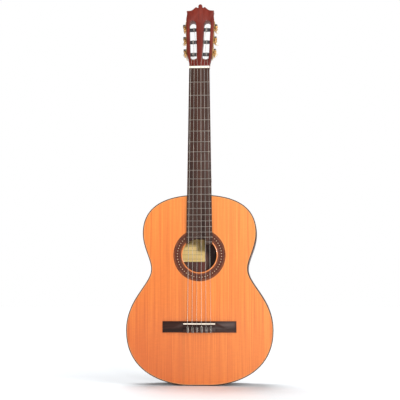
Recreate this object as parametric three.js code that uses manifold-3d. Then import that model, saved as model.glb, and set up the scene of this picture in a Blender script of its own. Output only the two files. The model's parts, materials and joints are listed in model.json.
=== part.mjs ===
// Full-size classical guitar with a slotted headstock, standing upright on its tail.
// Millimetres. +X is the treble side, +Y the back and +Z runs up the neck.
// The origin is the middle of the tail end.
import * as THREE from 'three';
import { mergeVertices } from 'three/addons/utils/BufferGeometryUtils.js';
import Module from 'manifold-3d';

const wasm = await Module();
wasm.setup();

// ---------- driving dimensions ----------
const stringLength = 650; // nut to saddle
const fretCount = 20;
const bodyLength = 478;
const tailDepth = 100;
const heelDepth = 94;
const tailFlatHalf = 24; // flat stretch of the tail end, either side of the middle
const lowerBout = { half: 185.1, z: 137.2 };
const waist = { half: 122.1, z: 289.7 };
const upperBout = { half: 143.9, z: 381.6 };
// handle lengths of the outline's curves, in order from the tail to the neck
const handles = { tail: 57.2, lowerUnder: 110, lowerOver: 77.4, waistUnder: 37.2, waistOver: 25.5 };
const upperHandles = { under: 38.1, over: 52.8, shoulder: 109.3 };
const outlineSteps = 8;

const topThickness = 2.5;
const backThickness = 3;
const ribThickness = 2.2;
const tailJoint = 6; // the ribs meet this far to the treble side of the tail's middle
const bindingWidth = 2.2;
const bindingDepth = 5;
const liningWidth = 6;
const liningDepth = 13;
// the back's arch: half-widths of its flat strips and how far each edge falls forward of the middle
const backArch = [[30, 0], [95, 2], [150, 5.5], [200, 10.5]];

const soundholeDrop = 153; // the soundhole's middle, below the body's top
const soundholeRadius = 43.5;
const rosette = { inner: 46.2, outer: 66, depth: 1 };

const nutHalf = 26;
const boardHalfAtBody = 31;
const boardThickness = 6.5;
const boardEndRadius = 42; // arc of the fingerboard's end, about the soundhole's middle
const tongueLeft = 13.5; // the treble tongue that carries the last fret
const tonguePastFret = 6.7;
const fret = { half: 1, crown: 1.1, tangHalf: 0.25, tang: 1.8, inset: 0.4 };
const nut = { thickness: 5, rise: 1.9 };

const neckDepthAtNut = 15;
const neckDepthAtHeel = 17.5;
const heelLength = 62; // along the neck, at the neck's back
const heelCapLength = 21;
const heelCapHalf = 13.5;
const heelCapThickness = 2.5;
const webHalf = 10; // the tongue between the ribs that joins heel and inner block
const blockHalf = 30;
const blockLength = 38;
const tailBlockHalf = 40;
const tailBlockThickness = 18;

const bridge = { half: 92.5, blockHalf: 40.25, wing: 4.2, end: 2.4, endRun: 6, block: 9 };
const bridgeBelow = 21.5; // the bridge's reach below and above the saddle's line
const bridgeAbove = 6.5;
const tieBlockDepth = 13.5;
const tieChannel = 3.2;
const saddleLedge = 6.2; // wood behind the saddle, low enough for the strings to clear it
const saddle = { thickness: 2.8, height: 12.2, half: 40, seat: 4 };
const tieHole = { height: 4.8, radius: 1.5 };

const stringDiameters = [1.09, 0.91, 0.74, 1.02, 0.81, 0.71]; // bass to treble
const spreadAtNut = 43;
const spreadAtSaddle = 58;

const headTilt = THREE.MathUtils.degToRad(12);
const headThickness = 18;
const veneerThickness = 2.5;
const headLength = 158.5; // to the shoulders under the crest
const headTaper = THREE.MathUtils.degToRad(2.3); // each side leans out by this
const rollerAxes = [38.2, 73.3, 108.4]; // along the head, from the nut
const slot = { centre: 17.1, width: 17.4, low: 21.5, high: 130.5 };
const rail = 8.2; // wood between the slot and the head's side

const rollerDepth = 9; // roller axis behind the head's face
const roller = { barrel: 4.8, shaft: 3, axle: 2, pivotDepth: 4.6 };
const gear = { teeth: 16, pitchRadius: 6.4, addendum: 0.7, dedendum: 0.9, width: 3 };
const worm = { pitchRadius: 3.4, core: 2.6, crest: 4, half: 6, pin: 1.5 };
const plate = { thickness: 1.3, low: 24, high: 132, front: 1, back: 17.4 };
const lug = { thickness: 1.2, gap: 0.4, half: 3.2 };
const button = { start: 28, length: 15, halfWide: 8.4, halfThin: 4.6 };
const buttonTurns = [0.5, -0.35, 1.3, -0.9, 0.75, 1.1]; // how each button is left turned, in radians

const glue = 0.1; // gap at glued joints
const running = 0.3; // gap where something turns or slides
const turnedSides = 10; // facets round a turned piece or its hole

// ---------- derived places ----------
const frontY = -tailDepth / 2;
const nutZ = bodyLength + stringLength / 2;
const saddleZ = nutZ - stringLength;
const boardY = frontY - boardThickness;
const soundholeZ = bodyLength - soundholeDrop;
const bridgeLow = saddleZ - bridgeBelow;
const bridgeHigh = saddleZ + bridgeAbove;
const nutTopY = boardY - nut.rise;
const saddleTopY = frontY - saddle.height;
const headBaseZ = nutZ + nut.thickness;
const backSlope = (heelDepth - tailDepth) / bodyLength;
const sideOuter = slot.width / 2 + rail;
const plateOuter = sideOuter + glue + plate.thickness;
const gearMiddle = plateOuter + running + worm.crest;
const gearSpacing = gear.pitchRadius + worm.pitchRadius + running;
const gearPitch = (2 * Math.PI * gear.pitchRadius) / gear.teeth;
const fretZ = (n) => nutZ - stringLength * (1 - 2 ** (-n / 12));
const boardHalf = (z) => nutHalf + ((boardHalfAtBody - nutHalf) * (nutZ - z)) / (nutZ - bodyLength);
const backY = (z) => frontY + tailDepth + backSlope * z;

// ---------- solids ----------
function solid(geometry) {
  const bare = geometry.clone();
  bare.deleteAttribute('normal');
  bare.deleteAttribute('uv');
  return sharedSolid(mergeVertices(bare, 1e-4));
}

// a closed geometry whose triangles already share their vertices
function sharedSolid(geometry) {
  return new wasm.Manifold(new wasm.Mesh({
    numProp: 3,
    vertProperties: new Float32Array(geometry.attributes.position.array),
    triVerts: new Uint32Array(geometry.index.array),
  }));
}

function geometryOf(manifold) {
  const mesh = manifold.getMesh();
  const geometry = new THREE.BufferGeometry();
  geometry.setAttribute('position', new THREE.BufferAttribute(new Float32Array(mesh.vertProperties), 3));
  geometry.setIndex(new THREE.BufferAttribute(new Uint32Array(mesh.triVerts), 1));
  geometry.computeVertexNormals();
  return geometry;
}

function moved(manifold, matrix) {
  const geometry = geometryOf(manifold);
  geometry.applyMatrix4(matrix);
  if (matrix.determinant() < 0) geometry.index.array.reverse();
  return sharedSolid(geometry);
}

const shifted = (manifold, x, y, z) => moved(manifold, new THREE.Matrix4().makeTranslation(x, y, z));
const turnedY = (manifold, angle) => moved(manifold, new THREE.Matrix4().makeRotationY(angle));
const scaled = (manifold, x, y, z) => moved(manifold, new THREE.Matrix4().makeScale(x, y, z));
const union = (...solids) => solids.reduce((whole, one) => whole.add(one));
const axisX = new THREE.Vector3(1, 0, 0);
const axisY = new THREE.Vector3(0, 1, 0);
const axisZ = new THREE.Vector3(0, 0, 1);
const shapeOf = (points) => new THREE.Shape(points.map(([a, b]) => new THREE.Vector2(a, b)));

function extruded(shape, depth, basis, shift) {
  const geometry = new THREE.ExtrudeGeometry(shape, { depth, bevelEnabled: false, curveSegments: 5 });
  geometry.applyMatrix4(basis);
  geometry.translate(...shift);
  return solid(geometry);
}

// a shape drawn in X and Z, from y0 back to y1
function prismY(shape, y0, y1) {
  const basis = new THREE.Matrix4().makeBasis(axisX, axisZ, axisY.clone().negate());
  return extruded(shape, y1 - y0, basis, [0, y1, 0]);
}

// a shape drawn in X and Y, from z0 up to z1
function prismZ(shape, z0, z1) {
  return extruded(shape, z1 - z0, new THREE.Matrix4(), [0, 0, z0]);
}

// a shape drawn in Y and Z, from x0 to x1
function prismX(shape, x0, x1) {
  return extruded(shape, x1 - x0, new THREE.Matrix4().makeBasis(axisY, axisZ, axisX), [x0, 0, 0]);
}

function block(x0, x1, y0, y1, z0, z1) {
  const geometry = new THREE.BoxGeometry(x1 - x0, y1 - y0, z1 - z0);
  geometry.translate((x0 + x1) / 2, (y0 + y1) / 2, (z0 + z1) / 2);
  return solid(geometry);
}

// a closed profile of [radius, y] points, spun about the Y axis
function spunY(profile, sides) {
  return solid(new THREE.LatheGeometry(profile.map(([r, y]) => new THREE.Vector2(r, y)), sides));
}

// the same, spun about the X axis: [radius, x] points
function spunX(profile, sides) {
  const geometry = new THREE.LatheGeometry(profile.map(([r, x]) => new THREE.Vector2(r, x)), sides);
  geometry.applyMatrix4(new THREE.Matrix4().makeBasis(axisY, axisX, axisZ.clone().negate()));
  return solid(geometry);
}

const rod = (radius, from, to) => [[0, from], [radius, from], [radius, to], [0, to]];

// a round bar through points that climb in Z: each ring stays level, and is centred on its point
function levelTube(points, radius) {
  const circle = new THREE.Shape().absarc(0, 0, radius, 0, 2 * Math.PI, false);
  const steps = points.length - 1;
  const options = { depth: steps, steps, bevelEnabled: false, curveSegments: 4 };
  const geometry = new THREE.ExtrudeGeometry(circle, options);
  const position = geometry.attributes.position;
  for (let i = 0; i < position.count; i += 1) {
    const at = points[Math.round(position.getZ(i))];
    position.setXYZ(i, position.getX(i) + at.x, position.getY(i) + at.y, at.z);
  }
  return solid(geometry);
}

// ---------- body outline ----------
function outlineCurves() {
  const point = (x, z) => new THREE.Vector2(x, z);
  const curve = (a, b, c, d) => new THREE.CubicBezierCurve(a, b, c, d);
  const low = point(lowerBout.half, lowerBout.z);
  const mid = point(waist.half, waist.z);
  const high = point(upperBout.half, upperBout.z);
  return [
    curve(
      point(tailFlatHalf, 0),
      point(tailFlatHalf + handles.tail, 0),
      point(low.x, low.y - handles.lowerUnder),
      low,
    ),
    curve(low, point(low.x, low.y + handles.lowerOver), point(mid.x, mid.y - handles.waistUnder), mid),
    curve(mid, point(mid.x, mid.y + handles.waistOver), point(high.x, high.y - upperHandles.under), high),
    curve(
      high,
      point(high.x, high.y + upperHandles.over),
      point(upperHandles.shoulder, bodyLength),
      point(0, bodyLength),
    ),
  ];
}

// the whole outline, moved in by inset
function bodyShape(inset) {
  const right = [];
  for (const curve of outlineCurves()) {
    for (let k = 0; k < outlineSteps; k += 1) {
      const at = curve.getPoint(k / outlineSteps);
      const along = curve.getTangent(k / outlineSteps);
      right.push([at.x - along.y * inset, at.y + along.x * inset]);
    }
  }
  const left = right.map(([x, z]) => [-x, z]).reverse();
  return shapeOf([...right, [0, bodyLength - inset], ...left]);
}

const bodyPrism = (inset, y0, y1) => prismY(bodyShape(inset), y0, y1);
const bodyRing = (outer, inner, y0, y1) =>
  bodyPrism(outer, y0, y1).subtract(bodyPrism(inner, y0 - 1, y1 + 1));

// everything in front of the arched back, moved forward by offset
function inFrontOfBack(offset) {
  const reach = tailDepth;
  const edge = backArch.map(([x, fall]) => [x, frontY + tailDepth - fall - offset]);
  const shape = shapeOf([
    [-backArch.at(-1)[0], frontY - reach],
    [backArch.at(-1)[0], frontY - reach],
    ...edge.slice().reverse(),
    ...edge.map(([x, y]) => [-x, y]),
  ]);
  const geometry = new THREE.ExtrudeGeometry(shape, { depth: bodyLength + 60, bevelEnabled: false });
  geometry.translate(0, 0, -20);
  geometry.applyMatrix4(new THREE.Matrix4().set(1, 0, 0, 0, 0, 1, backSlope, 0, 0, 0, 1, 0, 0, 0, 0, 1));
  return solid(geometry);
}

const backLayer = (from, to) => inFrontOfBack(from).subtract(inFrontOfBack(to));
const farBack = frontY + tailDepth + 5;
const innerInset = ribThickness + glue;
const boardInset = bindingWidth + glue;
const topInnerY = frontY + topThickness;

// ---------- body pieces ----------
function makeSoundboard() {
  const hole = [
    [0, frontY - 1],
    [soundholeRadius, frontY - 1],
    [soundholeRadius, topInnerY + 1],
    [0, topInnerY + 1],
  ];
  const channel = ringProfile(rosette.inner, rosette.outer, frontY - 1, frontY + rosette.depth);
  return bodyPrism(boardInset, frontY, topInnerY)
    .subtract(shifted(spunY(hole, 40), 0, 0, soundholeZ))
    .subtract(shifted(spunY(channel, 40), 0, 0, soundholeZ));
}

function ringProfile(inner, outer, y0, y1) {
  return [[inner, y0], [outer, y0], [outer, y1], [inner, y1], [inner, y0]];
}

function makeRosette() {
  const backFace = frontY + rosette.depth - glue;
  const profile = ringProfile(rosette.inner + glue, rosette.outer - glue, frontY, backFace);
  return shifted(spunY(profile, 40), 0, 0, soundholeZ);
}

function makeRib(side) {
  const half = side > 0 ? [tailJoint + glue, lowerBout.half + 10] : [-lowerBout.half - 10, tailJoint];
  const keep = block(...half, frontY, farBack, -10, bodyLength + 10);
  const web = block(-webHalf - glue, webHalf + glue, frontY, farBack, upperBout.z, bodyLength + 10);
  return bodyRing(0, ribThickness, frontY + bindingDepth + glue, farBack)
    .intersect(inFrontOfBack(bindingDepth + glue))
    .intersect(keep)
    .subtract(web);
}

function makeBackPlate() {
  return bodyPrism(boardInset, frontY, farBack).intersect(backLayer(0, backThickness));
}

const makeTopBinding = () => bodyRing(0, bindingWidth, frontY, frontY + bindingDepth);
const makeBackBinding = () =>
  bodyRing(0, bindingWidth, frontY, farBack).intersect(backLayer(0, bindingDepth));

function liningRing(extra) {
  return bodyRing(innerInset - extra, innerInset + liningWidth + extra, frontY, farBack);
}

// well outside the body, for cutting slabs
const farSide = 300;
const farBelow = 50;

const topLiningSlab = (extra) =>
  block(-farSide, farSide, topInnerY - extra, topInnerY + liningDepth + extra, -farBelow, bodyLength + farBelow);
const makeTopLining = () => liningRing(0).intersect(topLiningSlab(0));
const makeBackLining = () =>
  liningRing(0).intersect(backLayer(backThickness + glue, backThickness + liningDepth));

// a block of wood inside the body, notched where the two linings pass it
function insideBlock(half, z0, z1) {
  const backNotch = liningRing(glue).intersect(backLayer(0, backThickness + liningDepth + glue));
  return block(-half, half, topInnerY, farBack, z0, z1)
    .intersect(bodyPrism(innerInset, frontY, farBack))
    .intersect(inFrontOfBack(backThickness + glue))
    .subtract(liningRing(glue).intersect(topLiningSlab(glue)))
    .subtract(backNotch);
}

const makeTailBlock = () => insideBlock(tailBlockHalf, 0, ribThickness + tailBlockThickness);

function makeTopBracing() {
  const bars = [];
  const barHeight = 14;
  const barHalf = 3;
  const hole = { low: soundholeZ - 68, high: soundholeZ + 66 };
  for (const z of [hole.low, hole.high]) {
    const barBack = topInnerY + barHeight;
    bars.push(block(-lowerBout.half, lowerBout.half, topInnerY, barBack, z - barHalf, z + barHalf));
  }
  for (const side of [-1, 1]) {
    const x = side * (soundholeRadius + 12);
    bars.push(block(x - 6, x + 6, topInnerY, topInnerY + 2.5, hole.low, hole.high));
  }
  const fanTop = hole.low;
  const fanLength = 205;
  const fanTurn = THREE.MathUtils.degToRad(7);
  const fanSpacing = 17;
  for (let i = -3; i <= 3; i += 1) {
    const strut = block(-2.5, 2.5, topInnerY, topInnerY + 5, -fanLength, 0);
    bars.push(shifted(turnedY(strut, i * fanTurn), i * fanSpacing, 0, fanTop));
  }
  bars.push(block(-bridge.half, bridge.half, topInnerY, topInnerY + 2, bridgeLow, bridgeHigh));
  return union(...bars).intersect(bodyPrism(innerInset + liningWidth + running, frontY, farBack));
}

function makeBackBracing() {
  const inner = bodyPrism(innerInset + liningWidth + running, frontY, farBack);
  const bars = [90, 225, 375].map((z) => block(-200, 200, frontY, farBack, z - 4, z + 4));
  const tall = union(...bars).intersect(backLayer(backThickness + glue, backThickness + 14));
  const stripLow = ribThickness + tailBlockThickness + 4;
  const strip = block(-8, 8, frontY, farBack, stripLow, bodyLength - blockLength - 8);
  const low = strip.intersect(backLayer(backThickness + glue, backThickness + 2.5));
  return tall.add(low).intersect(inner);
}

// ---------- neck ----------
// the rounded back of the neck at height z: a half-oval under the fingerboard
function makeNeckShaft() {
  const arc = 14;
  const points = [];
  for (let k = 0; k <= arc; k += 1) {
    const turn = (Math.PI * k) / arc;
    points.push([Math.cos(turn), Math.sin(turn) ** 0.8]);
  }
  const geometry = new THREE.ExtrudeGeometry(shapeOf(points), { depth: 1, steps: 1, bevelEnabled: false });
  const position = geometry.attributes.position;
  const low = bodyLength + glue - 2;
  const high = headBaseZ + 6;
  for (let i = 0; i < position.count; i += 1) {
    const z = THREE.MathUtils.lerp(low, high, position.getZ(i));
    const depth = THREE.MathUtils.mapLinear(z, nutZ, bodyLength, neckDepthAtNut, neckDepthAtHeel);
    position.setXYZ(i, position.getX(i) * boardHalf(Math.min(z, nutZ)), frontY + position.getY(i) * depth, z);
  }
  return solid(geometry);
}

function heelCapShape(length) {
  const shape = new THREE.Shape();
  shape.moveTo(-heelCapHalf, bodyLength - 5);
  shape.lineTo(heelCapHalf, bodyLength - 5);
  shape.lineTo(heelCapHalf, bodyLength + length * 0.3);
  shape.bezierCurveTo(
    heelCapHalf, bodyLength + length * 0.8,
    heelCapHalf * 0.5, bodyLength + length,
    0, bodyLength + length,
  );
  shape.bezierCurveTo(
    -heelCapHalf * 0.5, bodyLength + length,
    -heelCapHalf, bodyLength + length * 0.8,
    -heelCapHalf, bodyLength + length * 0.3,
  );
  return shape;
}

const heelEndY = () => backY(bodyLength) - heelCapThickness;
const outsideBody = (piece) => piece.subtract(bodyPrism(-glue, frontY - 100, farBack + 20));

function makeHeel() {
  const start = frontY + neckDepthAtHeel * 0.35;
  const side = new THREE.Shape();
  side.moveTo(start, bodyLength - 5);
  side.lineTo(start, bodyLength + heelLength);
  side.bezierCurveTo(
    frontY + neckDepthAtHeel + 8, bodyLength + heelLength * 0.55,
    heelEndY() - 30, bodyLength + heelCapLength + 3,
    heelEndY() - glue, bodyLength + heelCapLength,
  );
  side.lineTo(heelEndY() - glue, bodyLength - 5);
  const plan = new THREE.Shape();
  const wide = boardHalf(bodyLength) - 1;
  plan.moveTo(-wide, start);
  plan.lineTo(wide, start);
  plan.bezierCurveTo(wide, start + 26, heelCapHalf + 1, start + 42, heelCapHalf, heelEndY());
  plan.lineTo(-heelCapHalf, heelEndY());
  plan.bezierCurveTo(-heelCapHalf - 1, start + 42, -wide, start + 26, -wide, start);
  return prismX(side, -wide, wide).intersect(prismZ(plan, bodyLength - 5, bodyLength + heelLength));
}

const headGroup = new THREE.Group();
headGroup.position.set(0, frontY, headBaseZ + glue);
headGroup.rotation.x = -headTilt;
headGroup.updateMatrixWorld(true);

const inHead = (manifold) => moved(manifold, headGroup.matrixWorld);

function makeNeck() {
  const bodyTopWeb = block(
    -webHalf, webHalf,
    topInnerY + liningDepth + glue, backY(bodyLength) - backThickness - liningDepth - glue * 2,
    bodyLength - blockLength / 2, bodyLength + heelCapLength / 2,
  );
  const headSpace = inHead(block(-60, 60, -60, 60, -glue, 60));
  const outside = outsideBody(makeNeckShaft().subtract(headSpace).add(makeHeel()));
  return union(outside, bodyTopWeb, insideBlock(blockHalf, bodyLength - blockLength, bodyLength));
}

function makeHeelCap() {
  return outsideBody(prismY(heelCapShape(heelCapLength), heelEndY(), backY(bodyLength)));
}

// ---------- fingerboard, frets, nut ----------
function makeFingerboard() {
  const tongueLow = fretZ(fretCount) - tonguePastFret;
  const onArc = (x) => soundholeZ + Math.sqrt(boardEndRadius ** 2 - x ** 2);
  const bassX = boardHalf(soundholeZ + boardEndRadius * 0.65);
  const points = [[nutHalf, nutZ], [-nutHalf, nutZ]];
  const steps = 8;
  for (let k = 0; k <= steps; k += 1) {
    const x = THREE.MathUtils.lerp(-bassX, tongueLeft, k / steps);
    points.push([x, onArc(x)]);
  }
  points.push([tongueLeft, tongueLow], [boardHalf(tongueLow), tongueLow]);
  let board = prismY(shapeOf(points), boardY, frontY);
  const slotHalf = fret.tangHalf + glue;
  for (let n = 1; n <= fretCount; n += 1) {
    const z = fretZ(n);
    board = board.subtract(block(-50, 50, boardY - 1, boardY + fret.tang + glue, z - slotHalf, z + slotHalf));
  }
  return board;
}

function makeFret(n) {
  const z = fretZ(n);
  const y = boardY;
  const section = new THREE.Shape();
  section.moveTo(y, z - fret.half);
  section.lineTo(y - fret.crown * 0.75, z - fret.half * 0.7);
  section.lineTo(y - fret.crown, z);
  section.lineTo(y - fret.crown * 0.75, z + fret.half * 0.7);
  section.lineTo(y, z + fret.half);
  section.lineTo(y, z + fret.tangHalf);
  section.lineTo(y + fret.tang, z + fret.tangHalf);
  section.lineTo(y + fret.tang, z - fret.tangHalf);
  section.lineTo(y, z - fret.tangHalf);
  const end = boardHalf(z) - fret.inset;
  return prismX(section, n === fretCount ? tongueLeft + fret.inset : -end, end);
}

const makeNut = () => block(-nutHalf, nutHalf, nutTopY, frontY, nutZ, headBaseZ);

// ---------- bridge ----------
function makeBridge() {
  const y = frontY;
  const endX = bridge.half - bridge.endRun;
  const wings = prismZ(shapeOf([
    [-bridge.half, y], [-bridge.half, y - bridge.end], [-endX, y - bridge.wing],
    [endX, y - bridge.wing], [bridge.half, y - bridge.end], [bridge.half, y],
  ]), bridgeLow, bridgeHigh);
  const tieTop = bridgeLow + tieBlockDepth;
  const profile = shapeOf([
    [y, bridgeLow], [y - bridge.block, bridgeLow], [y - bridge.block, tieTop],
    [y - bridge.wing, tieTop], [y - bridge.wing, tieTop + tieChannel], [y - saddleLedge, tieTop + tieChannel],
    [y - saddleLedge, saddleZ],
    [y - bridge.block, saddleZ],
    [y - bridge.block, bridgeHigh - 2.5],
    [y - bridge.block + 2.5, bridgeHigh],
    [y, bridgeHigh],
  ]);
  let whole = wings.add(prismX(profile, -bridge.blockHalf, bridge.blockHalf));
  const slotHalf = saddle.thickness / 2 + glue;
  const slotEnd = bridge.blockHalf + 1;
  whole = whole.subtract(
    block(-slotEnd, slotEnd, y - 30, y - saddle.seat, saddleZ - slotHalf, saddleZ + slotHalf),
  );
  for (let i = 0; i < stringDiameters.length; i += 1) {
    const x = stringX(i, spreadAtSaddle);
    const circle = new THREE.Shape().absarc(x, y - tieHole.height, tieHole.radius, 0, 2 * Math.PI);
    whole = whole.subtract(prismZ(circle, bridgeLow - 1, tieTop + 0.5));
  }
  return whole;
}

function makeSaddle() {
  const half = saddle.thickness / 2;
  return block(-saddle.half, saddle.half, saddleTopY, frontY - saddle.seat, saddleZ - half, saddleZ + half);
}

// ---------- strings ----------
const stringX = (i, spread) => spread * (i / (stringDiameters.length - 1) - 0.5);
// strings 6 and 1 go to the rollers by the nut, 5 and 2 to the middle, 4 and 3 to the far ones
const stringSide = (i) => (i < 3 ? -1 : 1);
const stringRoller = (i) => (i < 3 ? i : 5 - i);
const windingX = [3, -1, -3.5]; // where each string meets its roller, from the slot's middle

function makeString(i) {
  const radius = stringDiameters[i] / 2;
  const atSaddle = stringX(i, spreadAtSaddle);
  const clear = radius + glue;
  const rollerAt = stringRoller(i);
  const meets = new THREE.Vector3(
    stringSide(i) * windingX[rollerAt],
    rollerDepth - roller.barrel - clear,
    rollerAxes[rollerAt] - slot.middle,
  );
  const end = sideGroups[stringSide(i)].localToWorld(meets);
  const holeY = frontY - tieHole.height;
  const points = [
    new THREE.Vector3(atSaddle, holeY, bridgeLow + 4),
    new THREE.Vector3(atSaddle, holeY, bridgeLow + tieBlockDepth + 1),
    new THREE.Vector3(atSaddle, saddleTopY - clear, saddleZ - saddle.thickness / 2),
    new THREE.Vector3(atSaddle, saddleTopY - clear, saddleZ + saddle.thickness / 2),
    new THREE.Vector3(stringX(i, spreadAtNut), nutTopY - clear, nutZ),
    new THREE.Vector3(stringX(i, spreadAtNut), nutTopY - clear, headBaseZ),
    end,
  ];
  return levelTube(points, radius);
}

// ---------- headstock ----------
slot.middle = rollerAxes[1];
const sideGroups = {};
for (const side of [-1, 1]) {
  const group = new THREE.Group();
  group.position.set(side * slot.centre, 0, slot.middle);
  group.rotation.y = side * headTaper;
  headGroup.add(group);
  group.updateMatrixWorld(true);
  sideGroups[side] = group;
}
headGroup.updateMatrixWorld(true);

// a point in the treble side's own frame, x outwards from the slot's middle line, in head X and Z
function sidePoint(x, z) {
  const turn = new THREE.Vector2(x, z).rotateAround(new THREE.Vector2(0, 0), -headTaper);
  return [slot.centre + turn.x, slot.middle + turn.y];
}

function headOutline() {
  const shape = new THREE.Shape();
  const low = sidePoint(sideOuter, 42 - slot.middle);
  const high = sidePoint(sideOuter, 134 - slot.middle);
  const ear = [high[0] - 0.6, headLength];
  const crest = headLength + 19;
  const knob = 5.2;
  const right = [
    (s) => s.bezierCurveTo(nutHalf - 0.8, 14, low[0] - 1.2, 26, low[0], low[1]),
    (s) => s.lineTo(high[0], high[1]),
    (s) => s.bezierCurveTo(high[0], high[1] + 6, ear[0] - 1.6, ear[1] - 12, ear[0] - 1.4, ear[1] - 5),
    (s) => s.lineTo(ear[0], ear[1]),
    (s) => s.lineTo(26.5, headLength + 0.6),
    (s) => s.bezierCurveTo(19, headLength + 1.5, 16, headLength + 9, 10.8, headLength + 11),
    (s) => s.lineTo(7.6, headLength + 8.6),
    (s) => s.lineTo(4.4, headLength + 10.4),
    (s) => s.bezierCurveTo(knob + 1.6, crest - 7, knob - 0.4, crest, 0, crest),
  ];
  shape.moveTo(nutHalf, 0);
  right.forEach((draw) => draw(shape));
  const points = shape.getPoints(5);
  const mirrored = points.slice(0, -1).reverse().map((p) => new THREE.Vector2(-p.x, p.y));
  return new THREE.Shape([...points, ...mirrored]);
}

// both slots, as long round-ended openings in the treble and bass side frames
function headSlots() {
  const cuts = [];
  for (const side of [-1, 1]) {
    const half = slot.width / 2;
    const low = slot.low + half - slot.middle;
    const high = slot.high - half - slot.middle;
    const shape = new THREE.Shape();
    shape.moveTo(-half, low);
    shape.absarc(0, low, half, Math.PI, 2 * Math.PI, false);
    shape.absarc(0, high, half, 0, Math.PI, false);
    cuts.push(inSide(side, prismY(shape, -10, headThickness + 10)));
  }
  return union(...cuts);
}

// moves a solid from a side's frame into the head's frame
const inSide = (side, manifold) => moved(manifold, sideGroups[side].matrix);

// the sloping ramps that let the strings down into the slots
function stringRamps() {
  const face = -veneerThickness;
  const ramp = shapeOf([[face - 1, 6], [face - glue, 9], [4.5, 27], [face - 1, 40]]);
  const cuts = [];
  for (const side of [-1, 1]) {
    const half = slot.width / 2 - 0.8;
    cuts.push(inSide(side, shifted(prismX(ramp, -half, half), 0, 0, -slot.middle)));
  }
  return union(...cuts);
}

// the holes that the rollers turn in, through each rail and a little way into the middle web
function rollerBores(extra) {
  const cuts = [];
  for (const side of [-1, 1]) {
    for (const z of rollerAxes) {
      const half = slot.width / 2;
      const through = spunX(rod(roller.shaft + extra, 0, sideOuter + 5), turnedSides);
      const pivot = spunX(rod(roller.axle + extra, -half - roller.pivotDepth - extra, 0), turnedSides);
      const both = turnedToSide(side, through.add(pivot));
      cuts.push(inSide(side, shifted(both, 0, rollerDepth, z - slot.middle)));
    }
  }
  return union(...cuts);
}

// pieces for a side are drawn with x outwards, as on the treble side; the bass side gets their mirror image
function turnedToSide(side, manifold) {
  return side > 0 ? manifold : scaled(manifold, -1, 1, 1);
}

function makeHeadstock() {
  return prismY(headOutline(), 0, headThickness)
    .subtract(headSlots())
    .subtract(stringRamps())
    .subtract(rollerBores(running));
}

function makeHeadVeneer() {
  return prismY(headOutline(), -veneerThickness - glue, -glue).subtract(headSlots()).subtract(stringRamps());
}

// ---------- tuning machines ----------
// in a side's frame: x outwards from the slot's middle line, y back from the head's face, z along the head
function makePlate(side) {
  const low = plate.low - slot.middle;
  const high = plate.high - slot.middle;
  const cut = 3;
  const outline = shapeOf([
    [plate.front + cut, low], [plate.back - cut, low], [plate.back, low + cut], [plate.back, high - cut],
    [plate.back - cut, high], [plate.front + cut, high], [plate.front, high - cut], [plate.front, low + cut],
  ]);
  let whole = prismX(outline, sideOuter + glue, plateOuter);
  for (const axis of rollerAxes) {
    const z = axis - slot.middle;
    const wormZ = z + gearSpacing;
    for (const way of [-1, 1]) {
      const near = rollerDepth + way * (worm.half + lug.gap);
      const far = near + way * lug.thickness;
      const ear = block(
        plateOuter - 0.5, gearMiddle + lug.half,
        Math.min(near, far), Math.max(near, far),
        wormZ - lug.half, wormZ + lug.half,
      );
      whole = whole.add(ear);
    }
    const pinHole = spunY(rod(worm.pin + running, plate.front - 2, plate.back + 2), turnedSides);
    const axleHole = spunX(rod(roller.axle + running, sideOuter - 1, plateOuter + 1), turnedSides);
    whole = whole.subtract(shifted(pinHole, gearMiddle, 0, wormZ));
    whole = whole.subtract(shifted(axleHole, 0, rollerDepth, z));
  }
  return turnedToSide(side, whole);
}

function makeGear() {
  const root = gear.pitchRadius - gear.dedendum;
  const tip = gear.pitchRadius + gear.addendum;
  const points = [];
  for (let k = 0; k < gear.teeth; k += 1) {
    const middle = Math.PI / 2 + (2 * Math.PI * k) / gear.teeth;
    const rootHalf = (gearPitch * 0.27) / root;
    const tipHalf = (gearPitch * 0.11) / tip;
    for (const [radius, turn] of [[root, -rootHalf], [tip, -tipHalf], [tip, tipHalf], [root, rootHalf]]) {
      points.push([radius * Math.cos(middle + turn), radius * Math.sin(middle + turn)]);
    }
  }
  return prismX(shapeOf(points), gearMiddle - gear.width / 2, gearMiddle + gear.width / 2);
}

// one string roller: pivot, barrel, shaft through the rail, and the gear outside the plate
function makeRoller(side) {
  const half = slot.width / 2;
  const spindle = spunX([
    [0, -half - roller.pivotDepth],
    [roller.axle, -half - roller.pivotDepth],
    [roller.axle, -half + running],
    [roller.barrel, -half + running],
    [roller.barrel, half - running],
    [roller.shaft, half - running],
    [roller.shaft, sideOuter - running],
    [roller.axle, sideOuter - running],
    [roller.axle, plateOuter + running],
    [roller.shaft, plateOuter + running],
    [roller.shaft, gearMiddle + gear.width / 2 + 0.8],
    [0, gearMiddle + gear.width / 2 + 0.8],
  ], turnedSides);
  return turnedToSide(side, spindle.add(makeGear()));
}

// the worm's thread: a trapezoid swept along a helix,
// whose crests lie half a pitch either side of a gear tooth
class Helix extends THREE.Curve {
  getPoint(t, target = new THREE.Vector3()) {
    const turns = 3;
    const turn = (t - 0.5) * turns * 2 * Math.PI;
    const radius = worm.core - 0.4;
    return target.set(radius * Math.sin(turn), (gearPitch * turn) / (2 * Math.PI), -radius * Math.cos(turn));
  }
}

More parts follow.
